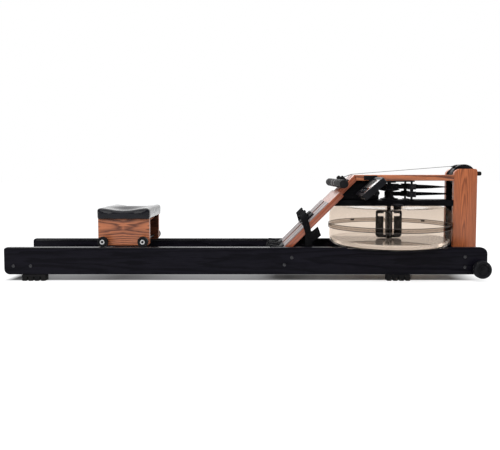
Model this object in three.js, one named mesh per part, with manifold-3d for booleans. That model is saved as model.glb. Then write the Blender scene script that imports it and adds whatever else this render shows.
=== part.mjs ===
// Water rowing machine, in millimetres. +X runs from the rower's end to the tank, +Z is up.
// The origin is on the floor, under the middle of the machine.
import * as THREE from "three";
import { mergeVertices } from "three/addons/utils/BufferGeometryUtils.js";
import Module from "manifold-3d";

const wasm = await Module();
wasm.setup();

// Driving dimensions of the whole machine
const railLength = 2079;
const railHeight = 117;
const railThickness = 25;
const railGap = 286;
const rearTopRadius = 12;
const rearBottomRadius = 24;
const frontTopRadius = 28;
const frontBottomRadius = 12;
const footHeight = 27;
const plankThickness = 26;
const spineWidth = 124;
const slopeAngle = Math.PI / 4;
const seatGap = 0.3;
const runningGap = 1;
const overrun = 5;

// Turned pieces and arcs
const fineSides = 40;
const wheelSides = 20;
const smallSides = 10;
const arcSteps = 3;

// Runner strips on the rails
const trackThickness = 3;
const trackLip = 10;
const trackLipThickness = 2;
const trackRearInset = 14;
const trackTankClearance = 277.2;

// Cross blocks and bolts
const spreaderThickness = 28;
const rearSpreaderDepth = 112;
const rearSpreaderInset = 14;
const rearBoltInset = 40.5;
const rearBoltSpacing = 74;
const rearBoltRise = 37;
const frontSpreaderHeight = 70;
const frontSpreaderRise = 19;
const frontBoltSpacing = 45;
const boltHeadRadius = 7;
const boltHeadHeight = 2.5;
const boltSocketRadius = 3.2;
const boltSocketDepth = 2;

// Rubber feet
const footLength = 102;
const footLobes = 4;
const footWidth = 34;
const footGroove = 5;
const footGrooveHeight = 18;
const footLobeRadius = 7;
const rearFootInset = 77.5;
const frontFootInset = 331.5;

// Transport wheels
const transportRadius = 38.6;
const transportWidth = 30;
const transportRise = 52;
const transportInset = 31;
const transportStandoff = 6;
const transportAxleRadius = 6;
const transportHubRadius = 16;
const transportTyreRound = 7;
const transportDish = 5;
const axleNutRadius = 9.5;
const axleNutThickness = 5;

// Tank
const tankRadius = 272.5;
const tankHeight = 175;
const tankWall = 4;
const tankCornerRadius = 40;
const tankSink = 6;
const tankClearance = 2.2;
const flangeReach = 3;
const flangeHeight = 9;
const sealThickness = 1.4;
const shaftHoleRadius = 17;
const fillHoleRadius = 17;
const fillOffset = 150;
const fillCollarHeight = 8;
const fillCollarWall = 4;
const plugCapRadius = 24;
const plugCapHeight = 9;
const plugDepth = 14;

// Decks, web and footboard
const deckTopZ = 455;
const mitreLead = 107;
const lowerDeckRise = 3;
const webSetback = 54;
const webThickness = 62;
const boardBottomReach = 540;
const footboardWidth = 250;
const footboardNeckReach = 98;
const footboardRound = 12;
const blockThickness = 45;
const blockHalfLength = 44;
const blockSetback = 68.4;
const blockBoltSpacing = 45;

// Uprights, rollers and guard
const uprightDepth = 103;
const uprightThickness = 22;
const uprightSetback = 7.6;
const uprightTopZ = 482;
const uprightBottomZ = 66;
const uprightRearRadius = 28;
const uprightFrontRadius = 10;
const bumperRadius = 9.5;
const bumperReach = 25;
const bumperDrop = 21;
const topRollerZ = 448;
const topRollerInset = 52;
const topRollerRadius = 48;
const topRollerFlange = 51;
const rollerHalfWidth = 28;
const rollerFlangeThickness = 4;
const rollerShaftRadius = 6;
const shaftBoreFloor = 7;
const guardInnerRadius = 52;
const guardWall = 2.5;
const guardRearShare = 0.7;
const guardSlotShare = 0.58;
const guardFrontShare = 0.17;
const guardSlotWidth = 30;
const recoilRollerRadius = 17;
const recoilRollerInset = 64;
const strapWidth = 20;
const strapThickness = 1.6;
const strapClearance = 0.5;

// Drive above the tank
const paddleRadius = 60;
const paddleHeight = 132;
const paddleDrop = 10;
const bladeThickness = 4;
const bladeCorner = 14;
const bladeSlotInner = 13;
const bladeSlotOuter = 27;
const bladeRim = 14;
const shaftRadius = 9;
const hubRadius = 13;
const bearingRadius = 28;
const bearingHeight = 17;
const bearingFlangeRadius = 40;
const bearingFlangeHeight = 6;
const recoilDrumRadius = 19;
const driveDrumRadius = 42;
const drumFlange = 4;
const driveBandZ = 402;
const recoilBandZ = 368;
const bandHeight = 25;
const bracketThickness = 5;
const bossRadius = 30;
const bossHeight = 10;
const guidePostOffset = 88;
const guidePostSpread = 52;
const guidePostRadius = 5;
const guideRadius = 19.5;
const guideBaseThickness = 3;
const guideBaseWidth = 22;
const guideFlange = 2;
const guideFlangeReach = 2.5;

// Foot plates, heel rests and foot straps, measured along the footboard down from the mitre
const plateTopReach = 168;
const plateSetback = 62;
const plateThickness = 4;
const plateGrooveWidth = 12;
const plateGrooveDepth = 2;
const plateMargin = 1.5;
const plateGap = 44;
const heelSetback = 32;
const heelLength = 72;
const heelCrestLead = 32;
const heelShoulderLead = 58;
const heelLowHeight = 38;
const heelCrestHeight = 47;
const heelShoulderHeight = 11;
const heelSoleHeight = 6;
const heelWidth = 96;
const heelWall = 5;
const heelRound = 40;
const strapBaseTop = 246;
const strapBaseBottom = 316;
const strapBaseWidth = 56;
const strapBaseHeight = 9;
const footStrapWidth = 32;
const footStrapThickness = 3;
const footStrapArch = 40;
const footStrapTailZ = 122;
const footStrapStand = 8;
const buckleShift = 4;
const buckleLength = 26;
const buckleWidth = 46;
const buckleHeight = 9;

// Handle and its rest
const handleLength = 450;
const handleBarRadius = 13;
const gripRadius = 18.5;
const handleLead = 77;
const handleDrop = 37;
const handleSlotWidth = 40;
const slotBridgeShare = 0.7;
const hornReach = 29.5;
const hornSpread = 50;
const hornRadius = 10;
const hornHeight = 36;
const restPlateThickness = 4;
const restPlateLength = 30;

// Seat
const seatInset = 508.4;
const sidePlateLength = 223;
const sidePlateThickness = 23;
const sidePlateBottomZ = 147;
const sidePlateTopZ = 264;
const sidePlateOuter = 125;
const sidePlateRadius = 12;
const wheelbase = 173;
const wheelAxleShift = 2.8;
const seatWheelRadius = 22.5;
const seatWheelWidth = 20;
const seatWheelInner = 144;
const seatWheelHub = 11.5;
const seatAxleRadius = 4;
const seatCollarShare = 1.8;
const seatBoardThickness = 18;
const padLength = 230;
const padWidth = 300;
const padThickness = 47;
const padShift = 2.5;
const padDip = 16;
const padCheekShare = 0.28;
const padCorner = 16;
const padEdge = 9;
const padHem = 3;
const padCornerSteps = 4;
const padSideSplits = 6;
const padCrownRings = 5;

// Monitor
const monitorWidth = 164;
const monitorLength = 117;
const monitorThickness = 27;
const monitorLead = 50;
const monitorDrop = 57.3;
const monitorGapToDeck = 6;
const monitorTilt = 41 * Math.PI / 180;
const monitorCorner = 14;
const monitorWall = 4;
const glassDepth = 2.5;
const glassMargin = 14;
const armRadius = 7;
const armReach = 130;
const armPlateThickness = 4;
const armPlateLength = 60;
const armPlateHeight = 20;
const armLegWidth = 16;
const lugRadius = 12;
const lugWidth = 16;
const lugSpacing = 70;

// Recoil cord under the tank
const cordRadius = 4;
const cordTopZ = 150;
const cordSides = 8;

// Places worked out from the sizes above
const guardRearAngle = Math.PI * guardRearShare;
const guardSlotAngle = Math.PI * guardSlotShare;
const guardFrontAngle = Math.PI * guardFrontShare;
const railInner = railGap / 2;
const railOuter = railInner + railThickness;
const railBottomZ = footHeight + seatGap;
const railTopZ = footHeight + railHeight;
const uprightBumperLead = bumperReach - uprightSetback;
const railRearX = -(railLength + uprightBumperLead) / 2;
const railFrontX = railRearX + railLength;
const tankBottomZ = railTopZ - tankSink;
const tankTopZ = tankBottomZ + tankHeight;
const seamZ = tankBottomZ + tankHeight / 2;
const uprightFrontX = railFrontX - uprightSetback;
const uprightRearX = uprightFrontX - uprightDepth;
const tankX = uprightRearX - tankClearance - tankRadius;
const trackRearX = railRearX + trackRearInset;
const trackFrontX = tankX - tankRadius - trackTankClearance;
const mitreX = tankX - tankRadius + mitreLead;
const webEndX = tankX - webSetback;
const seatCentreX = railRearX + seatInset;
const handleX = mitreX - handleLead;
const handleZ = deckTopZ - handleDrop;
const monitorX = mitreX + monitorLead;
const monitorZ = deckTopZ - monitorDrop;
const blockReach = boardBottomReach - blockSetback;
const plateBottomReach = boardBottomReach - plateSetback;
const heelLowReach = boardBottomReach - heelSetback;
const heelHighReach = heelLowReach - heelLength;
const heelCrestReach = heelLowReach - heelCrestLead;
const heelShoulderReach = heelLowReach - heelShoulderLead;
const spineHalf = spineWidth / 2;
const footboardHalf = footboardWidth / 2;
const uprightInner = spineHalf - uprightThickness;
const deckBottomZ = deckTopZ - plankThickness;
const deckMidZ = deckTopZ - plankThickness / 2;
const lowerDeckBottomZ = tankTopZ + lowerDeckRise;
const lowerDeckTopZ = lowerDeckBottomZ + plankThickness;
const shaftEnd = spineHalf - shaftBoreFloor;
const topRollerX = uprightRearX + topRollerInset;
const boardFace = plankThickness / 2;
const shaftTopZ = driveBandZ + bandHeight;
const strapRise = strapClearance + strapThickness / 2;
const recoilRollerX = uprightRearX + recoilRollerInset;
const recoilRollerZ = recoilBandZ - recoilRollerRadius - strapRise;

const finishes = {
  rail: { color: 0x1b1a20, roughness: 0.42, metalness: 0 },
  oxblood: { color: 0xa65d42, roughness: 0.4, metalness: 0 },
  blackPlastic: { color: 0x16161a, roughness: 0.5, metalness: 0 },
  rubber: { color: 0x232326, roughness: 0.85, metalness: 0 },
  vinyl: { color: 0x1d1f26, roughness: 0.35, metalness: 0 },
  greyPlate: { color: 0x8f8986, roughness: 0.55, metalness: 0.1 },
  steel: { color: 0xb8babd, roughness: 0.3, metalness: 1 },
  blackSteel: { color: 0x1a1a1d, roughness: 0.4, metalness: 0.6 },
  polycarbonate: { color: 0xd3c3b0, roughness: 0.12, metalness: 0 },
  seal: { color: 0x3a322b, roughness: 0.6, metalness: 0 },
  webbing: { color: 0x121214, roughness: 0.9, metalness: 0 },
  glass: { color: 0x8c9296, roughness: 0.1, metalness: 0 },
};

const machine = new THREE.Group();

function addPart(name, geometry, finish, parent = machine) {
  const mesh = new THREE.Mesh(geometry, new THREE.MeshStandardMaterial(finishes[finish]));
  mesh.name = name;
  parent.add(mesh);
  return mesh;
}

// A closed geometry as a solid that can be joined and cut
function toSolid(geometry) {
  const bare = geometry.clone();
  bare.deleteAttribute("normal");
  bare.deleteAttribute("uv");
  const merged = mergeVertices(bare, seatGap / 1000);
  const vertProperties = new Float32Array(merged.attributes.position.array);
  const triVerts = new Uint32Array(merged.index.array);
  return new wasm.Manifold(new wasm.Mesh({ numProp: 3, vertProperties, triVerts }));
}

function toGeometry(solid) {
  const mesh = solid.getMesh();
  const geometry = new THREE.BufferGeometry();
  geometry.setAttribute("position", new THREE.BufferAttribute(mesh.vertProperties, 3));
  geometry.setIndex(new THREE.BufferAttribute(mesh.triVerts, 1));
  return geometry;
}

function joined(first, ...others) {
  return toGeometry(others.reduce((solid, other) => solid.add(toSolid(other)), toSolid(first)));
}

function cut(first, ...others) {
  return toGeometry(others.reduce((solid, other) => solid.subtract(toSolid(other)), toSolid(first)));
}

function common(first, second) {
  return toGeometry(toSolid(first).intersect(toSolid(second)));
}

function block(xLow, xHigh, yLow, yHigh, zLow, zHigh) {
  const geometry = new THREE.BoxGeometry(xHigh - xLow, yHigh - yLow, zHigh - zLow);
  return geometry.translate((xLow + xHigh) / 2, (yLow + yHigh) / 2, (zLow + zHigh) / 2);
}

// An outline through corners [x, y, radius], each rounded by its radius
function outline(corners, Kind = THREE.Shape) {
  const path = new Kind();
  const count = corners.length;
  corners.forEach(([x, y, radius = 0], index) => {
    const [beforeX, beforeY] = corners[(index + count - 1) % count];
    const [afterX, afterY] = corners[(index + 1) % count];
    const inward = new THREE.Vector2(x - beforeX, y - beforeY).normalize();
    const outward = new THREE.Vector2(afterX - x, afterY - y).normalize();
    const turn = Math.atan2(inward.cross(outward), inward.dot(outward));
    const back = radius * Math.tan(Math.abs(turn) / 2);
    const start = new THREE.Vector2(x, y).addScaledVector(inward, -back);
    if (index === 0) path.moveTo(start.x, start.y);
    else path.lineTo(start.x, start.y);
    if (radius > 0) {
      const side = Math.sign(turn);
      const centreX = start.x - inward.y * side * radius;
      const centreY = start.y + inward.x * side * radius;
      const startAngle = Math.atan2(start.y - centreY, start.x - centreX);
      path.absarc(centreX, centreY, radius, startAngle, startAngle + turn, side < 0);
    }
  });
  path.closePath();
  return path;
}

function extruded(shape, depth, curveSegments = arcSteps) {
  return new THREE.ExtrudeGeometry(shape, { depth, curveSegments, steps: 1, bevelEnabled: false });
}

// A shape drawn in X and Z, as thick as the span in Y
function alongY(shape, yLow, yHigh, curveSegments) {
  return extruded(shape, yHigh - yLow, curveSegments).rotateX(Math.PI / 2).translate(0, yHigh, 0);
}

// A shape drawn in Y and Z, as long as the span in X
function alongX(shape, xLow, xHigh, curveSegments) {
  const geometry = extruded(shape, xHigh - xLow, curveSegments);
  return geometry.rotateX(Math.PI / 2).rotateZ(Math.PI / 2).translate(xLow, 0, 0);
}

// A shape drawn in X and Y, as tall as the span in Z
function alongZ(shape, zLow, zHigh, curveSegments) {
  return extruded(shape, zHigh - zLow, curveSegments).translate(0, 0, zLow);
}

// A turned piece about Z from a profile [radius, z] that starts and ends on the axis or closes
function turned(profile, sides = wheelSides) {
  const points = profile.map(([radius, z]) => new THREE.Vector2(radius, z));
  return new THREE.LatheGeometry(points, sides).rotateX(Math.PI / 2);
}

function ring(innerRadius, outerRadius, zLow, zHigh, sides) {
  return turned([
    [innerRadius, zLow], [outerRadius, zLow], [outerRadius, zHigh], [innerRadius, zHigh],
    [innerRadius, zLow],
  ], sides);
}

function disc(radius, zLow, zHigh, sides) {
  return turned([[0, zLow], [radius, zLow], [radius, zHigh], [0, zHigh]], sides);
}

// The radius of a bore whose flat sides all clear a round piece by the seat gap
const boreFor = (radius, sides = smallSides) => (radius + seatGap) / Math.cos(Math.PI / sides);

// A turned piece laid along Y, centred where it sits
const laidAlongY = (geometry, x, z) => geometry.rotateX(-Math.PI / 2).translate(x, 0, z);
const mirroredY = (side) => (side > 0 ? "left" : "right");

function bothSides(make) {
  for (const side of [-1, 1]) make(side, mirroredY(side));
}

const spanY = (side, near, far) => (side > 0 ? [near, far] : [-far, -near]);

// A piece with one cross-section, swept through stations that each say which way its width lies
// Opposite faces are split along the same diagonal, so a twisted band keeps its thickness
function swept(stations, section) {
  const positions = [];
  const indices = [];
  const count = section.length;
  stations.forEach(({ at, across }, index) => {
    const before = stations[Math.max(index - 1, 0)].at;
    const after = stations[Math.min(index + 1, stations.length - 1)].at;
    const wide = across.clone().normalize();
    const thick = after.clone().sub(before).cross(wide).normalize();
    for (const [a, b] of section) {
      positions.push(...at.clone().addScaledVector(wide, a).addScaledVector(thick, b).toArray());
    }
  });
  for (let station = 0; station < stations.length - 1; station += 1) {
    for (let corner = 0; corner < count; corner += 1) {
      const a = station * count + corner;
      const b = station * count + (corner + 1) % count;
      if (corner < count / 2) indices.push(a, b, b + count, a, b + count, a + count);
      else indices.push(a, b, a + count, b, b + count, a + count);
    }
  }
  const last = (stations.length - 1) * count;
  for (let corner = 1; corner < count - 1; corner += 1) {
    indices.push(0, corner + 1, corner, last, last + corner, last + corner + 1);
  }
  const geometry = new THREE.BufferGeometry();
  geometry.setAttribute("position", new THREE.BufferAttribute(new Float32Array(positions), 3));
  geometry.setIndex(indices);
  return geometry;
}

function flatSection(width, thickness) {
  const wide = width / 2;
  const thick = thickness / 2;
  return [[-wide, -thick], [wide, -thick], [wide, thick], [-wide, thick]];
}

function roundSection(radius, sides) {
  return Array.from({ length: sides }, (unused, index) => {
    const angle = (index / sides) * Math.PI * 2;
    return [radius * Math.cos(angle), radius * Math.sin(angle)];
  });
}

// Bolt heads lie on the outer face of a rail, with a hexagon socket each
function boltPlaces() {
  const rearZ = railBottomZ + rearBoltRise;
  const frontX = uprightRearX + spreaderThickness / 2;
  const frontZ = railBottomZ + frontSpreaderRise + frontSpreaderHeight / 2;
  const middle = slopePoint(-blockReach, -(boardFace + seatGap + blockThickness / 2));
  const alongSlope = blockBoltSpacing / 2;
  return [
    [railRearX + rearBoltInset, rearZ],
    [railRearX + rearBoltInset + rearBoltSpacing, rearZ],
    [frontX, frontZ - frontBoltSpacing / 2],
    [frontX, frontZ + frontBoltSpacing / 2],
    [middle.x - alongSlope * Math.cos(slopeAngle), middle.z - alongSlope * Math.sin(slopeAngle)],
    [middle.x + alongSlope * Math.cos(slopeAngle), middle.z + alongSlope * Math.sin(slopeAngle)],
  ];
}

// A point of the sloping footboard, from its place along and above the plank's middle
function slopePoint(along, above) {
  return new THREE.Vector3(
    mitreX + along * Math.cos(slopeAngle) - above * Math.sin(slopeAngle),
    0,
    deckMidZ + along * Math.sin(slopeAngle) + above * Math.cos(slopeAngle),
  );
}

// Rails
function buildRails() {
  const rebateZ = railTopZ - trackThickness - seatGap;
  const notchHalf = Math.sqrt((tankRadius - tankCornerRadius / 3) ** 2 - railInner ** 2);
  const notchZ = tankBottomZ - seatGap;
  const shape = outline([
    [railRearX, railBottomZ, rearBottomRadius],
    [railFrontX, railBottomZ, frontBottomRadius],
    [railFrontX, railTopZ, frontTopRadius],
    [tankX + notchHalf, railTopZ],
    [tankX + notchHalf - tankSink, notchZ],
    [tankX - notchHalf + tankSink, notchZ],
    [tankX - notchHalf, railTopZ],
    [trackFrontX + seatGap, railTopZ],
    [trackFrontX + seatGap, rebateZ],
    [trackRearX - seatGap, rebateZ],
    [trackRearX - seatGap, railTopZ],
    [railRearX, railTopZ, rearTopRadius],
  ]);
  bothSides((side, word) => {
    const [yLow, yHigh] = spanY(side, railInner, railOuter);
    const heads = boltPlaces().map(([x, z]) => boltHead(side, x, z));
    const axleBore = laidAlongY(
      disc(boreFor(transportAxleRadius), -railOuter - overrun, railOuter + overrun, smallSides),
      railFrontX - transportInset, transportRise,
    );
    addPart(`rail_${word}`, cut(joined(alongY(shape, yLow, yHigh), ...heads), axleBore), "rail");
    const lipY = railInner - seatGap - trackLipThickness;
    const section = outline([
      [side * lipY, railTopZ - trackLip],
      [side * (railInner - seatGap), railTopZ - trackLip],
      [side * (railInner - seatGap), railTopZ - trackThickness],
      [side * railOuter, railTopZ - trackThickness],
      [side * railOuter, railTopZ],
      [side * lipY, railTopZ],
    ]);
    addPart(`track_${word}`, alongX(section, trackRearX, trackFrontX), "blackPlastic");
  });
}

function boltHead(side, x, z) {
  const low = railOuter - boltHeadHeight;
  const top = railOuter + boltHeadHeight;
  const head = turned([
    [0, low], [boltHeadRadius, low], [boltHeadRadius, top - boltHeadHeight / 2],
    [boltHeadRadius - boltHeadHeight / 2, top], [boltSocketRadius, top],
    [boltSocketRadius, top - boltSocketDepth], [0, top - boltSocketDepth],
  ], smallSides);
  return head.rotateX(side > 0 ? -Math.PI / 2 : Math.PI / 2).translate(x, 0, z);
}

function buildSpreaders() {
  const half = railInner - seatGap;
  const rearX = railRearX + rearSpreaderInset;
  const rearZ = railBottomZ + rearBoltRise;
  const rear = block(
    rearX, rearX + rearSpreaderDepth, -half, half,
    rearZ - spreaderThickness / 2, rearZ + spreaderThickness / 2,
  );
  addPart("rear_spreader", rear, "rail");
  const lowZ = railBottomZ + frontSpreaderRise;
  const front = block(
    uprightRearX, uprightRearX + spreaderThickness, -half, half, lowZ, lowZ + frontSpreaderHeight,
  );
  addPart("front_spreader", front, "rail");
}

// Four ribbed rubber feet, two under each rail
function footShape() {
  const shape = new THREE.Shape();
  const lobe = (footLength - footGroove * (footLobes - 1)) / footLobes;
  shape.moveTo(0, footHeight);
  for (let index = 0; index < footLobes; index += 1) {
    const start = index * (lobe + footGroove);
    shape.lineTo(start, footLobeRadius);
    shape.absarc(start + footLobeRadius, footLobeRadius, footLobeRadius, Math.PI, Math.PI * 1.5);
    shape.lineTo(start + lobe - footLobeRadius, 0);
    shape.absarc(start + lobe - footLobeRadius, footLobeRadius, footLobeRadius, -Math.PI / 2, 0);
    if (index < footLobes - 1) {
      shape.lineTo(start + lobe, footGrooveHeight);
      shape.lineTo(start + lobe + footGroove, footGrooveHeight);
    }
  }
  shape.lineTo(footLength, footHeight);
  shape.closePath();
  return shape;
}

function buildFeet() {
  const starts = { rear: railRearX + rearFootInset, front: railFrontX - frontFootInset - footLength };
  const middleY = railInner + railThickness / 2;
  for (const [place, startX] of Object.entries(starts)) {
    bothSides((side, word) => {
      const [yLow, yHigh] = spanY(side, middleY - footWidth / 2, middleY + footWidth / 2);
      const foot = addPart(`foot_${place}_${word}`, alongY(footShape(), yLow, yHigh, 3), "rubber");
      foot.position.x = startX;
    });
  }
}

function buildTransportWheels() {
  const axleX = railFrontX - transportInset;
  const inner = railOuter + transportStandoff;
  const outer = inner + transportWidth;
  const bore = transportAxleRadius + runningGap / 2;
  const wheelProfile = [
    [bore, inner], [transportHubRadius, inner], [transportHubRadius, inner + transportDish],
    [transportRadius - transportTyreRound * 2, inner + transportDish],
    [transportRadius - transportTyreRound, inner],
    [transportRadius, inner + transportTyreRound], [transportRadius, outer - transportTyreRound],
    [transportRadius - transportTyreRound, outer],
    [transportRadius - transportTyreRound * 2, outer - transportDish],
    [transportHubRadius, outer - transportDish], [transportHubRadius, outer - transportDish / 2],
    [bore, outer - transportDish / 2], [bore, inner],
  ];
  bothSides((side, word) => {
    const wheel = turned(wheelProfile, wheelSides);
    wheel.rotateX(side > 0 ? -Math.PI / 2 : Math.PI / 2).translate(axleX, 0, transportRise);
    addPart(`transport_wheel_${word}`, wheel, "blackPlastic");
  });
  const nutFrom = outer - transportDish / 2 + seatGap;
  const nutTo = nutFrom + axleNutThickness;
  const washerTo = inner - seatGap;
  const washerFrom = railOuter + seatGap;
  const rod = turned([
    [0, -nutTo], [axleNutRadius, -nutTo], [axleNutRadius, -nutFrom], [transportAxleRadius, -nutFrom],
    [transportAxleRadius, -washerTo], [axleNutRadius, -washerTo], [axleNutRadius, -washerFrom],
    [transportAxleRadius, -washerFrom], [transportAxleRadius, washerFrom],
    [axleNutRadius, washerFrom], [axleNutRadius, washerTo], [transportAxleRadius, washerTo],
    [transportAxleRadius, nutFrom], [axleNutRadius, nutFrom], [axleNutRadius, nutTo], [0, nutTo],
  ], smallSides);
  addPart("transport_axle", laidAlongY(rod, axleX, transportRise), "steel");
}

// The tank is two moulded halves that meet at a flange, with a seal between them
function tankHalf(upward) {
  const flangeRadius = tankRadius + flangeReach;
  const seam = sealThickness / 2 + seatGap;
  const half = tankHeight / 2;
  const outerCorner = [];
  const innerCorner = [];
  const cornerSteps = 4;
  for (let step = 0; step <= cornerSteps; step += 1) {
    const angle = (Math.PI / 2) * (step / cornerSteps);
    const centreRadius = tankRadius - tankCornerRadius;
    const centreZ = half - tankCornerRadius;
    const inside = tankCornerRadius - tankWall;
    outerCorner.push([
      centreRadius + tankCornerRadius * Math.cos(angle), centreZ + tankCornerRadius * Math.sin(angle),
    ]);
    innerCorner.push([centreRadius + inside * Math.cos(angle), centreZ + inside * Math.sin(angle)]);
  }
  const profile = [
    [tankRadius - tankWall, seam], [flangeRadius, seam], [flangeRadius, seam + flangeHeight],
    [tankRadius, seam + flangeHeight], ...outerCorner,
  ];
  if (upward) {
    profile.push([shaftHoleRadius, half], [shaftHoleRadius, half - tankWall]);
    profile.push(...innerCorner.reverse(), [tankRadius - tankWall, seam]);
    return turned(profile, fineSides);
  }
  profile.push([0, half], [0, half - tankWall], ...innerCorner.reverse());
  profile.push([tankRadius - tankWall, seam]);
  return turned(profile, fineSides).rotateX(Math.PI);
}

function buildTank() {
  const fillAt = { x: tankX, y: -fillOffset };
  const collarLow = tankTopZ - tankWall;
  const collarTop = tankTopZ + fillCollarHeight;
  const collarRadius = fillHoleRadius + fillCollarWall;
  const collar = disc(collarRadius, collarLow, collarTop, wheelSides).translate(fillAt.x, fillAt.y, 0);
  const hole = disc(fillHoleRadius, collarLow - overrun, collarTop + overrun, wheelSides);
  hole.translate(fillAt.x, fillAt.y, 0);
  const top = tankHalf(true).translate(tankX, 0, seamZ);
  addPart("tank_upper", cut(joined(top, collar), hole), "polycarbonate");
  addPart("tank_lower", tankHalf(false).translate(tankX, 0, seamZ), "polycarbonate");
  const sealHalf = sealThickness / 2;
  const seal = ring(tankRadius - tankWall, tankRadius + flangeReach, -sealHalf, sealHalf, fineSides);
  addPart("tank_seal", seal.translate(tankX, 0, seamZ), "seal");
  const capLow = collarTop + seatGap;
  const stem = fillHoleRadius - runningGap / 2;
  const plug = turned([
    [0, collarTop - plugDepth], [stem, collarTop - plugDepth], [stem, capLow],
    [plugCapRadius, capLow], [plugCapRadius, capLow + plugCapHeight / 2],
    [plugCapRadius - plugCapHeight / 2, capLow + plugCapHeight], [0, capLow + plugCapHeight],
  ], wheelSides);
  addPart("fill_plug", plug.translate(fillAt.x, fillAt.y, 0), "blackPlastic");
}

// The paddle: crossed blades with slots beside the shaft, which runs up to the drum
function buildPaddle() {
  const topZ = tankTopZ - tankWall - paddleDrop + seatGap;
  const lowZ = topZ - paddleHeight;
  const blade = outline([
    [-paddleRadius, lowZ, bladeCorner], [paddleRadius, lowZ, bladeCorner],
    [paddleRadius, topZ, bladeCorner], [-paddleRadius, topZ, bladeCorner],
  ]);
  const slots = [-1, 1].map((side) => {
    const [xLow, xHigh] = spanY(side, bladeSlotInner, bladeSlotOuter);
    return block(xLow, xHigh, -bladeThickness, bladeThickness, lowZ + bladeRim, topZ - bladeRim);
  });
  const plate = cut(alongY(blade, -bladeThickness / 2, bladeThickness / 2), ...slots);
  const plates = [plate, plate.clone().rotateZ(Math.PI / 2)];
  const hub = disc(hubRadius, lowZ, topZ, smallSides);
  const shaft = disc(shaftRadius, lowZ - paddleDrop / 2, shaftTopZ, smallSides);
  const paddle = joined(hub, shaft, ...plates).translate(tankX, 0, 0);
  addPart("paddle", paddle, "blackPlastic");
}

// Bearings on the lower deck and under the top deck, with the drum between them
function buildDrive() {
  const bearingLow = lowerDeckTopZ + seatGap;
  const bearingTop = bearingLow + bearingHeight / 2;
  const bore = shaftRadius + seatGap;
  const flangeTop = bearingLow + bearingFlangeHeight;
  const bearing = turned([
    [bore, bearingLow], [bearingFlangeRadius, bearingLow], [bearingFlangeRadius, flangeTop],
    [bearingRadius, flangeTop], [bearingRadius, bearingTop], [bore, bearingTop], [bore, bearingLow],
  ], wheelSides).translate(tankX, 0, 0);
  addPart("lower_bearing", bearing, "blackSteel");
  const recoilLow = recoilBandZ - bandHeight / 2;
  const recoilTop = recoilBandZ + bandHeight / 2;
  const driveLow = driveBandZ - bandHeight / 2;
  const driveTop = driveBandZ + bandHeight / 2;
  const drumLow = recoilLow - drumFlange;
  const drumTop = driveTop - drumFlange / 2;
  const drum = turned([
    [bore, drumLow], [recoilDrumRadius + drumFlange, drumLow],
    [recoilDrumRadius + drumFlange, recoilLow], [recoilDrumRadius, recoilLow],
    [recoilDrumRadius, recoilTop], [driveDrumRadius + drumFlange, driveLow - drumFlange],
    [driveDrumRadius + drumFlange, driveLow], [driveDrumRadius, driveLow],
    [driveDrumRadius, drumTop], [driveDrumRadius + drumFlange, drumTop],
    [driveDrumRadius + drumFlange, driveTop], [bore, driveTop], [bore, drumLow],
  ], wheelSides).translate(tankX, 0, 0);
  addPart("drive_drum", drum, "blackPlastic");
}

// One steel bracket under the top deck: it holds the upper bearing and two posts with a spool each
function buildGuides() {
  const postX = tankX + guidePostOffset;
  const baseLow = lowerDeckTopZ + seatGap;
  const baseTop = baseLow + guideBaseThickness;
  const plateTop = deckBottomZ - seatGap;
  const plateLow = plateTop - bracketThickness;
  const half = guidePostSpread + guidePostRadius * 2;
  const baseHalf = guideBaseWidth / 2;
  const base = block(postX - baseHalf, postX + baseHalf, -half, half, baseLow, baseTop);
  const plate = block(
    tankX - driveDrumRadius, postX + baseHalf, -half, half, plateLow, plateTop,
  );
  const boss = disc(bossRadius, plateLow - bossHeight / 2, plateTop, wheelSides).translate(tankX, 0, 0);
  const socket = disc(
    boreFor(shaftRadius), plateLow - bossHeight, shaftTopZ + seatGap, smallSides,
  ).translate(tankX, 0, 0);
  const posts = [-1, 1].map((side) => disc(guidePostRadius, baseLow, plateTop, smallSides)
    .translate(postX, side * guidePostSpread, 0));
  addPart("drive_bracket", cut(joined(plate, boss, base, ...posts), socket), "blackSteel");
  const bore = guidePostRadius + seatGap;
  const low = recoilBandZ - bandHeight / 2;
  const top = driveBandZ + bandHeight / 2;
  const waist = bore + guideFlange;
  const profile = [
    [bore, low], [guideRadius + guideFlangeReach, low],
    [guideRadius + guideFlangeReach, low + guideFlange], [guideRadius, low + guideFlange],
    [guideRadius, low + bandHeight], [waist, low + bandHeight], [waist, top - bandHeight],
    [guideRadius, top - bandHeight], [guideRadius, top - guideFlange],
    [guideRadius + guideFlangeReach, top - guideFlange], [guideRadius + guideFlangeReach, top],
    [bore, top], [bore, low],
  ];
  bothSides((side, word) => {
    const spool = turned(profile, wheelSides).translate(postX, side * guidePostSpread, 0);
    addPart(`guide_spool_${word}`, spool, "blackPlastic");
  });
}

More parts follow.
